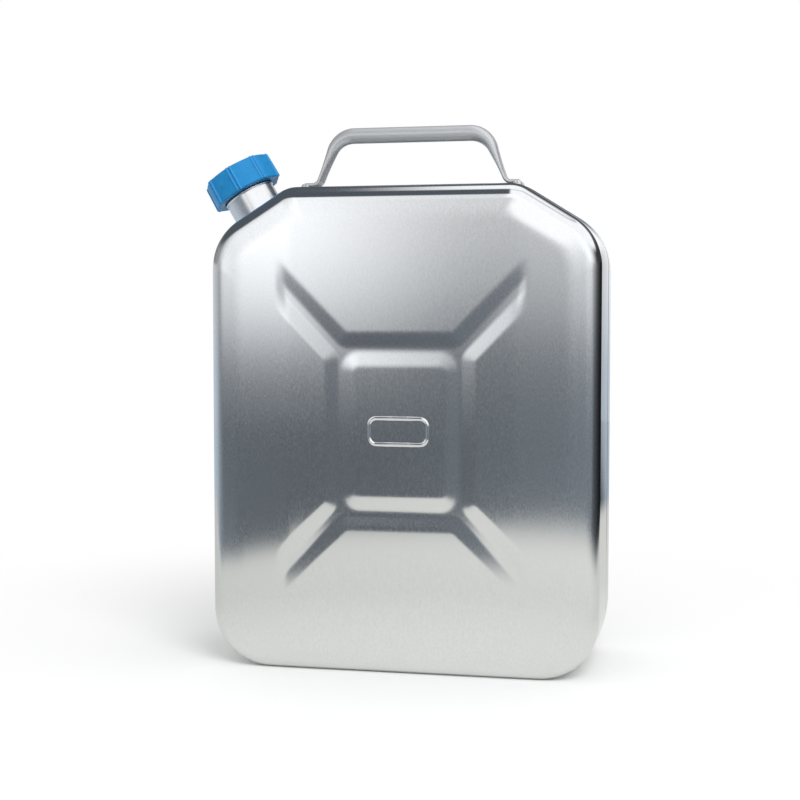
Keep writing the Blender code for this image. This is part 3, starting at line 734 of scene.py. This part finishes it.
def shell_surface(hole_at):
    """All rows of one half of the body, with the neck's hole at a place along the outline."""
    reach = np.linspace(0.0, 1.0, WALL_ROWS)[:-1, None] * (-SEAM_EDGE - edge_middle_y)
    outer_wall = [wall_ring(t, hole_at, 0.0) for t in reach]
    inner_wall = [wall_ring(t, hole_at, WALL_THICKNESS) for t in reach[::-1]]
    outer_edge = [edge_ring(a, 0.0) for a in np.linspace(0.0, 1.0, EDGE_ROWS)[:, None] * edge_end]
    inner_turns = np.linspace(math.pi / 2, 0.0, INNER_EDGE_ROWS)[:, None]
    inner_edge = [edge_ring(a, WALL_THICKNESS) for a in inner_turns]
    inner_flat = inner_edge[0] * np.array((0.5, 1.0, 0.5)) + np.array((0.0, 0.0, GROOVE_CENTRE_Z / 2))
    rim = outer_edge[-1][:, [0, 2]]
    wide = np.linspace(1.0, MARK_SHARE, OUTER_ROWS)[1:]
    shares = np.concatenate((wide, np.linspace(MARK_SHARE, 0.0, MARK_ROWS)[1:-1]))[:, None, None]
    spread = rim * shares + PANEL_MIDDLE * (1.0 - shares)
    x, z = spread[..., 0], spread[..., 1]
    from_rim = np.clip(inside_distance(x, z, rim[::2]), 0.0, CROWN_WIDTH)
    past_even = np.clip(from_rim - CROWN_EVEN, 0.0, None)
    crown = crown_slope * (from_rim - past_even**2 / (2 * (CROWN_WIDTH - CROWN_EVEN)))
    depth = panel_depth(x, z - GROOVE_CENTRE_Z) + crease_depth(x)
    panel = np.stack((x, plane_y + (crown_drop - crown) + depth, z), axis=-1)
    return np.stack([inner_flat, *inner_edge, *inner_wall, *outer_wall, *outer_edge, *panel])


print("each row of a shell has", SHELL_COLUMNS, "points")

# %% [markdown]
# The neck leans out of the left shoulder. Its own frame has one direction across, one to the back and one
# along. The rear shell is the same pressing turned half round, so its hole is on its other shoulder.

# %% Neck frame and shells
NECK_SHIFT = 0.0065
NECK_LEAN = math.radians(30.0)
HOLE_STEPS = 40 * SHELL_COLUMNS
shoulder_length = math.hypot(SHOULDER_RUN, SHOULDER_DROP)
shoulder_way = np.array((-SHOULDER_RUN, 0.0, -SHOULDER_DROP)) / shoulder_length
neck_foot = np.array((-TOP_HALF_WIDTH, 0.0, BODY_HEIGHT)) + shoulder_way * (shoulder_length / 2 + NECK_SHIFT)
neck_across = np.array((math.cos(NECK_LEAN), 0.0, math.sin(NECK_LEAN)))
neck_back = np.array((0.0, 1.0, 0.0))
neck_axis = np.array((-math.sin(NECK_LEAN), 0.0, math.cos(NECK_LEAN)))


def hole_place(side):
    """Place along the outline nearest to the neck's foot, on the left (-1) or right (+1) shoulder: the least
    of the distances at many even steps."""
    steps = np.linspace(0.0, outline_length[-1], HOLE_STEPS)
    apart = read_line(steps, outline_length, outline - np.array((-side * neck_foot[0], neck_foot[2])))
    return steps[np.argmin(np.hypot(apart[:, 0], apart[:, 1]))]


for name, node, shoulder, turned in (
    ("front_pressing", "front_shell", -1, (1.0, 1.0, 1.0)),
    ("rear_pressing", "rear_shell", 1, (-1.0, -1.0, 1.0)),
):
    shell = shell_surface(hole_place(shoulder)) * np.array(turned)
    make_piece(name, shell, rolled_sheet, "can", (node,))

# %% [markdown]
# The two halves are joined by a weld that was ground flush, so from outside it is a flat band between two
# fine lines. It is swept along the outline, from one side of the neck round the can to the other side.

# %% Seam weld
SEAM_HALF_WIDTH = 0.0020
SEAM_ROUNDING = 0.0005
SEAM_COLUMNS = 24
SEAM_STOP = 0.0252


def rounded_section(half_y, low, high, rounding, count):
    """Points round a box section with rounded corners, as (y, height), evenly spaced."""
    corners = [(half_y, low), (half_y, high), (-half_y, high), (-half_y, low)]
    line, _ = even_outline([(*corner, rounding) for corner in corners], count)
    return line


seam_section = rounded_section(SEAM_HALF_WIDTH, -WALL_THICKNESS, 0.0, SEAM_ROUNDING, SEAM_COLUMNS)
off_neck = (outline_length[:-1] - hole_place(-1)) % outline_length[-1]
kept = np.argsort(off_neck)
kept = kept[(off_neck[kept] > SEAM_STOP) & (off_neck[kept] < outline_length[-1] - SEAM_STOP)]
seam_line = outline[kept, None, :] + outwards[kept, None, :] * seam_section[None, :, 1:]
seam_depth = np.broadcast_to(seam_section[:, 0], seam_line.shape[:2])
seam_grid = np.stack((seam_line[..., 0], seam_depth, seam_line[..., 1]), -1)
make_piece("seam_bead", seam_grid, weld_bead, "can", ("seam_weld",))

# %% [markdown]
# The neck has a raised right-hand thread, and the cap has one inside, half a pitch on. A thread is a height
# added to the neck's radius, or taken off the cap's bore: a ridge that climbs one pitch for each turn and fades
# at its ends. A place on either is a radius, an angle and a height in the neck's own frame.

# %% Thread
NECK_RADIUS = 0.0233
CAP_BASE = 0.0280
THREAD_PITCH = 0.005
THREAD_RIDGE = 0.0011
THREAD_START = 0.0035
THREAD_LOW = CAP_BASE + THREAD_START
THREAD_RISE = 0.0110
THREAD_FADE = 0.0008
THREAD_ROOT = NECK_RADIUS - THREAD_RIDGE


def neck_points(radius, angle, height):
    """Points round the neck's axis: the foot, plus radius times a way round it, plus height along it."""
    radius, angle, height = np.broadcast_arrays(radius, angle, height)
    round_way = np.cos(angle)[..., None] * neck_across + np.sin(angle)[..., None] * neck_back
    return neck_foot + radius[..., None] * round_way + height[..., None] * neck_axis


def thread_height(angle, height, low):
    """How far a thread stands out at an angle and a height: a round ridge, a pitch higher after each turn."""
    climbed = (height - low) / THREAD_PITCH - angle / math.tau
    turns = np.clip(np.round(climbed), 0.0, 1.0)
    off = (climbed - turns) * THREAD_PITCH
    along = (turns + angle / math.tau) * THREAD_PITCH
    ends = np.clip(np.minimum(along, THREAD_RISE - along) / THREAD_FADE, 0.0, 1.0)
    return ends * np.sqrt(np.clip(THREAD_RIDGE**2 - off**2, 0.0, None))


print("thread starts", THREAD_START, "m above the cap's lower rim and rises", THREAD_RISE, "m")

# %% [markdown]
# The neck is a turned tube with a thin lip under the cap: a profile turned round its axis, with the thread
# added where the profile lies at the thread's root.

# %% Filler neck
NECK_BORE = 0.0200
NECK_BELOW = 0.005
NECK_TOP = 0.0470
LIP_SIZE = 0.0006
LIP_BREAK = 0.0002
NECK_BREAK = 0.0003
COLLAR_TOP = CAP_BASE - LIP_SIZE
TURN_COLUMNS = 192


def dense_profile(corners, step):
    """A line of (radius, height) with points at most a step apart on each stretch."""
    points = []
    for (r0, h0), (r1, h1) in zip(corners, corners[1:]):
        count = max(1, math.ceil(math.hypot(r1 - r0, h1 - h0) / step))
        share = np.arange(count)[:, None] / count
        points.append(np.array((r0, h0)) * (1 - share) + np.array((r1, h1)) * share)
    return np.vstack((*points, corners[-1]))


neck_profile = dense_profile(
    [
        (NECK_BORE, -NECK_BELOW),
        (NECK_BORE, NECK_TOP - NECK_BREAK),
        (NECK_BORE + NECK_BREAK, NECK_TOP),
        (THREAD_ROOT - NECK_BREAK, NECK_TOP),
        (THREAD_ROOT, NECK_TOP - NECK_BREAK),
        (THREAD_ROOT, COLLAR_TOP + LIP_BREAK),
        (THREAD_ROOT + LIP_BREAK, COLLAR_TOP),
        (NECK_RADIUS + LIP_SIZE - LIP_BREAK, COLLAR_TOP),
        (NECK_RADIUS + LIP_SIZE, COLLAR_TOP - LIP_BREAK),
        (NECK_RADIUS + LIP_SIZE, COLLAR_TOP - 2 * LIP_SIZE),
        (NECK_RADIUS, COLLAR_TOP - 3 * LIP_SIZE),
        (NECK_RADIUS, 0.0),
        (NECK_RADIUS, -NECK_BELOW),
        (NECK_BORE + NECK_BREAK, -NECK_BELOW),
    ],
    NECK_BREAK,
)
angles = np.arange(TURN_COLUMNS) / TURN_COLUMNS * math.tau
neck_radii = np.broadcast_to(neck_profile[:, :1], (len(neck_profile), TURN_COLUMNS)).copy()
neck_heights = neck_profile[:, 1:]
threaded = (neck_profile[:, 0] == THREAD_ROOT) & (neck_profile[:, 1] > COLLAR_TOP)
neck_radii[threaded] += thread_height(angles[None, :], neck_heights[threaded], THREAD_LOW)
neck_grid = neck_points(neck_radii, angles, neck_heights)
make_piece("threaded_neck", neck_grid, turned_neck, "can", ("filler_neck",), end="join")

# %% [markdown]
# A fillet bead holds the neck. A hand-laid bead has fine ripples, one for each dab of the filler rod.
# Its face is a straight slant from leg to leg plus a sine bulge, and the ripples grow with the bulge.
# The foot follows the shoulder, whose height under each point is read from the outline in the neck's frame.

# %% Neck weld
BEAD_LEG = 0.0045
BEAD_GAP = 0.0003
BEAD_BULGE = 0.00045
RIPPLES = 44
RIPPLE_HEIGHT = 0.00018
RIPPLE_SWAY = 0.6
SWAYS = 3.0
BEAD_COLUMNS = 384
BEAD_STEPS = 12
FOOT_STEPS = 4
NEAR_NECK = 0.045
NEAR_FOOT = 0.03

neck_side = outline - neck_foot[[0, 2]]
outline_across = neck_side @ neck_across[[0, 2]]
outline_rise = neck_side @ neck_axis[[0, 2]]
near_neck = (np.abs(outline_across) < NEAR_NECK) & (outline_rise > -NEAR_FOOT)
order = np.argsort(outline_across[near_neck])
shoulder_across = outline_across[near_neck][order]
shoulder_rise = outline_rise[near_neck][order]

bead_angle = np.arange(BEAD_COLUMNS) / BEAD_COLUMNS * math.tau
ripple = RIPPLE_HEIGHT * np.abs(np.sin(bead_angle * RIPPLES / 2 + RIPPLE_SWAY * np.sin(bead_angle * SWAYS)))
bulge = np.sin(2 * np.linspace(0.0, math.pi / 2, BEAD_STEPS))
slant = np.linspace(0.0, 1.0, BEAD_STEPS)
rippled = ripple[:, None] * bulge[None, :]
face_out = (slant * BEAD_LEG + BEAD_BULGE * bulge)[None, :] + rippled
face_up = ((1.0 - slant) * BEAD_LEG + BEAD_BULGE * bulge)[None, :] + rippled
under_out = np.linspace(BEAD_LEG, 0.0, FOOT_STEPS + 1)[None, 1:] * np.ones((BEAD_COLUMNS, 1))
under_up = np.zeros((BEAD_COLUMNS, FOOT_STEPS))
bead_radius = NECK_RADIUS + BEAD_GAP + np.hstack((face_out, under_out))
bead_height = np.hstack((face_up, under_up)) + BEAD_GAP
bead_height += np.interp(bead_radius * np.cos(bead_angle)[:, None], shoulder_across, shoulder_rise)
bead_grid = neck_points(bead_radius, bead_angle[:, None], bead_height)
make_piece("neck_bead", bead_grid, weld_bead, "can", ("neck_weld",), end="join")

# %% [markdown]
# The handle's centre line is a straight bar, an arc, a leaning leg, a small arc and a flat tab. Only its right
# half is worked out, and the left half is its mirror image.

# %% Handle's centre line
HANDLE_LEAN = math.radians(22.5)
HANDLE_TUBE = 0.0140
HANDLE_RISE = 0.0564
HANDLE_BEND = 0.0220
HANDLE_INSET = 0.0183
HANDLE_FOOT_X = TOP_HALF_WIDTH - HANDLE_INSET
FOOT_LIFT = 0.0035
FOOT_THICKNESS = 0.0040
FOOT_BEND = 0.0070
FOOT_TAB = 0.0065

bar_z = BODY_HEIGHT + HANDLE_RISE - HANDLE_TUBE / 2
tab_z = BODY_HEIGHT + FOOT_LIFT + FOOT_THICKNESS / 2
handle_turn = math.pi / 2 - HANDLE_LEAN
leg_drop = bar_z - tab_z - (HANDLE_BEND + FOOT_BEND) * (1.0 - math.cos(handle_turn))
leg = leg_drop / math.cos(HANDLE_LEAN)
STRETCHES = [
    (HANDLE_FOOT_X - leg * math.sin(HANDLE_LEAN) - HANDLE_BEND * math.sin(handle_turn), 0.0, 30),
    (HANDLE_BEND * handle_turn, handle_turn, 24),
    (leg, 0.0, 40),
    (FOOT_BEND * handle_turn, -handle_turn, 14),
    (FOOT_TAB, 0.0, 14),
]
starts = np.concatenate(([0.0], np.cumsum([bend for _, bend, _ in STRETCHES])[:-1]))


def handle_line():
    """Right half of the centre line: places, headings and how much of the bend and leg is left.

    Each stretch has a length and a turn. Its curvature is constant, so headings grow evenly along it, and the
    places are the sum of small steps along the headings.
    """
    headings = [
        start + bend * (np.arange(count) + 0.5) / count for (_, bend, count), start in zip(STRETCHES, starts)
    ]
    heading = np.concatenate(headings)
    step = np.concatenate([np.full(count, length / count) for length, _, count in STRETCHES])
    x = np.concatenate(([0.0], np.cumsum(step * np.cos(heading))))
    z = bar_z - np.concatenate(([0.0], np.cumsum(step * np.sin(heading))))
    done = np.concatenate(([0.0], np.cumsum(step)))
    share = 1.0 - np.clip((done - STRETCHES[0][0]) / (STRETCHES[1][0] + leg), 0.0, 1.0)
    node_heading = np.concatenate(([heading[0]], (heading[1:] + heading[:-1]) / 2, [heading[-1]]))
    return x, z, node_heading, share


half_x, half_z, half_heading, half_share = handle_line()
print("bar is at", round(bar_z, 4), "m, and the tab ends at", round(float(half_x[-1]), 4), "m")

# %% [markdown]
# The handle is one tube: round at the bar, and pressed flatter and wider down the legs to two thin tabs.
# Each section is an ellipse whose sides get squarer as the tube gets flatter.

# %% Carry handle
HANDLE_SHIFT = -0.0038
FOOT_WIDTH = 0.0195
TUBE_COLUMNS = 64


def both_sides(half, sign=1.0):
    """Values along the whole handle from those of its right half, with the left ones times the sign."""
    return np.concatenate((sign * half[:0:-1], half))


path_x = both_sides(half_x, -1.0)
path_z = both_sides(half_z)
path_heading = both_sides(half_heading, -1.0)
path_share = both_sides(half_share)
roundness = path_share**2 * (3.0 - 2.0 * path_share)
thick = FOOT_THICKNESS + (HANDLE_TUBE - FOOT_THICKNESS) * roundness
wide = FOOT_WIDTH + (HANDLE_TUBE - FOOT_WIDTH) * roundness
squareness = (0.5 + 0.5 * roundness)[:, None]
tube_angle = np.arange(TUBE_COLUMNS) / TUBE_COLUMNS * math.tau
tube_cosine = np.sign(np.cos(tube_angle)) * np.abs(np.cos(tube_angle)) ** squareness
across_tube = tube_cosine * thick[:, None] / 2
handle_grid = np.stack(
    (
        path_x[:, None] + HANDLE_SHIFT + across_tube * np.sin(path_heading)[:, None],
        np.sin(tube_angle)[None, :] * wide[:, None] / 2,
        path_z[:, None] + across_tube * np.cos(path_heading)[:, None],
    ),
    axis=-1,
)
make_piece("handle_tube", handle_grid, drawn_tube, "can", ("carry_handle",))
print("handle's top is at", round(float(handle_grid[..., 2].max()), 4), "m")

# %% [markdown]
# A bead runs round three sides of each tab. It is swept along the tab's edge, stands on the body's top, which
# falls away where it bends into the shoulder, and fills the gap under the lifted tab's edge.

# %% Handle welds
TAB_BEAD_WIDTH = 0.0033
TAB_BEAD_TOP = 0.0062
TAB_BEAD_RUN = 0.0053
TAB_RIPPLES = 0.0021
TAB_RIPPLE_SHARE = 0.03
TAB_END_FADE = 0.002
TAB_TURN_LENGTH = 0.002
TAB_BEAD_LEAST = 0.0012
TAB_FULLNESS = 0.8
TAB_RUN_POINTS = 40
TAB_CORNER_POINTS = 12
TAB_COLUMNS = 20
TAB_FILL = 0.004
NEAR_TOP = 0.02
top_part = outline[:, 1] > BODY_HEIGHT - NEAR_TOP
top_order = np.argsort(outline[top_part, 0])
top_x = outline[top_part, 0][top_order]
top_z = outline[top_part, 1][top_order]


def tab_weld(side):
    """Bead round one tab: a line round its end with round corners, and at each point a section that is a half
    ellipse on the side away from the tab, from the body's top upwards."""
    end_x = half_x[-1] + BEAD_GAP
    half_y = FOOT_WIDTH / 2 + BEAD_GAP
    run = np.linspace(0.0, 1.0, TAB_RUN_POINTS)
    corner = np.linspace(0.0, math.pi / 2, TAB_CORNER_POINTS + 2)[1:-1]
    line, bend = np.ones(TAB_RUN_POINTS), np.ones(TAB_CORNER_POINTS)
    out_x, back_x = end_x - TAB_BEAD_RUN * (1 - run), end_x - TAB_BEAD_RUN * run
    x = np.concatenate((out_x, end_x * bend, end_x * line, end_x * bend, back_x))
    across = -half_y + 2 * half_y * run
    y = np.concatenate((-half_y * line, -half_y * bend, across, half_y * bend, half_y * line))
    facing = np.concatenate((0.0 * line, corner, math.pi / 2 * line, corner + math.pi / 2, math.pi * line))
    steps = np.hypot(np.diff(x), np.diff(y)) + np.diff(facing) * TAB_TURN_LENGTH
    length = np.concatenate(([0.0], np.cumsum(steps)))
    ripple = 1.0 + TAB_RIPPLE_SHARE * np.abs(np.sin(length / TAB_RIPPLES * math.pi))
    ends = np.clip(np.minimum(length, length[-1] - length) / TAB_END_FADE, 0.25, 1.0) ** 0.5
    swing = np.linspace(0.0, math.pi / 2, TAB_COLUMNS)
    out = TAB_BEAD_WIDTH * (ripple * ends)[:, None] * np.cos(swing) ** TAB_FULLNESS
    up = np.sin(swing) ** TAB_FULLNESS * ends[:, None]
    under = np.broadcast_to((0.0, -TAB_FILL, -TAB_FILL), (len(x), 3))
    out = np.hstack((out, under, out[:, :1] * np.array((0.25, 0.5, 0.75))))
    wx = x[:, None] + out * np.sin(facing)[:, None]
    wy = y[:, None] - out * np.cos(facing)[:, None]
    placed_x = side * wx + HANDLE_SHIFT
    floor_z = np.interp(placed_x, top_x, top_z) + BEAD_GAP
    top = np.maximum(floor_z + TAB_BEAD_LEAST, BODY_HEIGHT + TAB_BEAD_TOP)
    up = np.hstack((up, ends[:, None] * np.array((0.52, 0.50, 0.0)), np.zeros((len(x), 3))))
    return np.stack((placed_x, wy, floor_z + (top - floor_z) * up), axis=-1)


for side, name in ((-1, "left"), (1, "right")):
    bead = tab_weld(side)
    make_piece(f"tab_bead_{name}", bead, weld_bead, "can", (f"handle_weld_{name}",))

# %% [markdown]
# The cap is moulded in blue plastic, half glossy and a little uneven in tone. Hands rub its ridges, so an
# attribute on its mesh says where it is paler.

# %% Blue plastic
MOULDED_BLUES = (0.008, 0.235, 0.56, 1.0), (0.014, 0.275, 0.62, 1.0)
RUBBED_BLUE = (0.055, 0.38, 0.78, 1.0)

blue_plastic, tree, shader = new_material("blue_plastic_gloss")
haze = object_noise(tree, 160.0, 4.0)
moulded = blend_colour(tree, remap(tree, haze, 0.3, 0.7), *MOULDED_BLUES)
rubbed = add_node(tree, "ShaderNodeAttribute", attribute_name="rubbed").outputs["Fac"]
feed(tree, shader.inputs["Base Color"], blend_colour(tree, rubbed, moulded, RUBBED_BLUE))
feed(tree, shader.inputs["Roughness"], remap(tree, haze, 0.3, 0.7, 0.30, 0.40))
shader.inputs["Specular IOR Level"].default_value = 0.35
print("blue plastic has", len(tree.nodes), "nodes")

# %% [markdown]
# The cap's skirt has eight grips, neither flat nor quite round, and a pair of narrow ridges between each two.
# Its radius depends only on the angle: the grip between two pairs, plus the ridges.

# %% Grips and ridges
CAP_RADIUS = 0.0335
CAP_LOBES = 8
CAP_TURN = math.radians(26.0)
RIDGE_WIDTH = 0.0016
RIDGE_PITCH = 0.0034
RIDGE_HEIGHT = 0.0013
RIDGE_BLEND = 0.0005
GRIP_FLATNESS = 0.45
CAP_COLUMNS = 512
cap_angles = np.arange(CAP_COLUMNS) / CAP_COLUMNS * math.tau


def skirt_radius(angle):
    """Distance of the skirt from the axis, and how much of a ridge stands there.

    A flat grip has the foot radius times the cosine of the half grip over the cosine of the angle from the
    grip's middle, and here the grip lies between that and a circle. Two ridges with round shoulders stand
    between grips.
    """
    foot = CAP_RADIUS - RIDGE_HEIGHT
    sector = math.tau / CAP_LOBES
    off_ridge = (angle - CAP_TURN) % sector - sector / 2
    grip_half = sector / 2 - (RIDGE_PITCH + RIDGE_WIDTH) / 2 / CAP_RADIUS
    from_grip = sector / 2 - np.abs(off_ridge)
    flat_grip = foot * math.cos(grip_half) / np.cos(np.minimum(from_grip, grip_half))
    grip = foot + (flat_grip - foot) * GRIP_FLATNESS
    off = np.abs(np.abs(off_ridge) * CAP_RADIUS - RIDGE_PITCH / 2)
    raised = np.clip((RIDGE_WIDTH / 2 - off) / RIDGE_BLEND + 0.5, 0.0, 1.0)
    return grip + RIDGE_HEIGHT * raised * raised * (3.0 - 2.0 * raised), raised


skirt_line, ridge_share = skirt_radius(cap_angles)
print("skirt's radius is", round(float(skirt_line.min()), 4), "to", round(float(skirt_line.max()), 4), "m")

# %% [markdown]
# One surface makes the whole cap: it starts in the middle of the bore's end, runs down the bore over the
# thread, round the lower rim, up the skirt, and over the top rim to the middle of the top.

# %% Screw cap
CAP_HEIGHT = 0.0238
CAP_TAPER = 0.0006
CAP_CLEARANCE = 0.0004
CAP_BORE = NECK_RADIUS + CAP_CLEARANCE
CAP_TOP_WALL = 0.0022
RIM_RADIUS = 0.0014
TOP_DISC = 0.024
RUBBED_SHARE = 0.55
BORE_ROWS = 110
RIM_ROWS = 7
SKIRT_ROWS = 40
DISC_ROWS = 8

cap_top = CAP_BASE + CAP_HEIGHT
bore_top = cap_top - CAP_TOP_WALL
bore_heights = np.linspace(bore_top, CAP_BASE + CAP_CLEARANCE, BORE_ROWS)
inner_thread = thread_height(cap_angles[None, :], bore_heights[:, None], THREAD_LOW + THREAD_PITCH / 2)
even = np.ones(CAP_COLUMNS)
rows = [(CAP_BORE * share * even, bore_top) for share in (0.02, 0.5, 0.98)]
rows += [(CAP_BORE - inner_thread[i], height) for i, height in enumerate(bore_heights)]
rows += [((CAP_BORE + CAP_CLEARANCE) * even, CAP_BASE)]
rim_turns = np.linspace(0.0, math.pi / 2, RIM_ROWS)
rims = [(RIM_RADIUS * (1 - np.sin(a)), RIM_RADIUS * (1 - np.cos(a))) for a in rim_turns]
rows += [(skirt_line - inwards, CAP_BASE + upwards) for inwards, upwards in rims]
skirt_rise = CAP_HEIGHT - 2 * RIM_RADIUS
for share in np.linspace(0.0, 1.0, SKIRT_ROWS)[1:-1]:
    rows.append((skirt_line - CAP_TAPER * share, CAP_BASE + RIM_RADIUS + skirt_rise * share))
rows += [(skirt_line - CAP_TAPER - inwards, cap_top - downwards) for downwards, inwards in rims]
disc_line = skirt_line - CAP_TAPER - RIM_RADIUS
disc_shares = np.linspace(0.0, 1.0, DISC_ROWS)[1:]
rows += [(disc_line * (1 - share) + TOP_DISC * share, cap_top) for share in disc_shares]
rows += [(TOP_DISC * share * even, cap_top) for share in (0.7, 0.4, 0.1)]
cap_radii = np.stack([radii for radii, _ in rows])
cap_heights = np.array([height for _, height in rows])[:, None]
cap_grid = neck_points(cap_radii, cap_angles, cap_heights)
cap = make_piece("ribbed_cap", cap_grid, blue_plastic, "cap", ("screw_cap",))
between = (cap_heights[:, 0] > CAP_BASE) & (cap_heights[:, 0] < cap_top)
outer = between & (cap_radii.mean(axis=1) > CAP_BORE + 0.001)
rubbed_share = np.where(outer[:, None], RUBBED_SHARE * ridge_share[None, :], 0.0).ravel()
rubbed_attribute = cap.data.attributes.new("rubbed", "FLOAT", "POINT")
rubbed_attribute.data.foreach_set("value", np.append(rubbed_share, (0.0, 0.0)).astype(np.float32))
print("rubbed ridges on", int((rubbed_share > 0.1).sum()), "points")

# %% [markdown]
# A flat rubber disc in the cap seals the neck. It shows only from the side when the cap is off.

# %% Gasket
GASKET_LOW = 0.0473
GASKET_THICKNESS = 0.0020
GASKET_ROUNDING = 0.0003
GASKET_STEP = 0.001
rubber, tree, shader = new_material("rubber_seal")
shader.inputs["Roughness"].default_value = 0.7
speckle = object_noise(tree, 900.0)
black = blend_colour(tree, speckle, (0.02, 0.02, 0.02, 1.0), (0.05, 0.05, 0.05, 1.0))
feed(tree, shader.inputs["Base Color"], black)
gasket_profile = dense_profile(
    [
        (GASKET_STEP, GASKET_LOW),
        (THREAD_ROOT - GASKET_ROUNDING, GASKET_LOW),
        (THREAD_ROOT, GASKET_LOW + GASKET_ROUNDING),
        (THREAD_ROOT, GASKET_LOW + GASKET_THICKNESS - GASKET_ROUNDING),
        (THREAD_ROOT - GASKET_ROUNDING, GASKET_LOW + GASKET_THICKNESS),
        (GASKET_STEP, GASKET_LOW + GASKET_THICKNESS),
    ],
    GASKET_STEP,
)
gasket_grid = neck_points(gasket_profile[:, :1], angles, gasket_profile[:, 1:])
make_piece("seal_disc", gasket_grid, rubber, "seal", ("cap_gasket",))
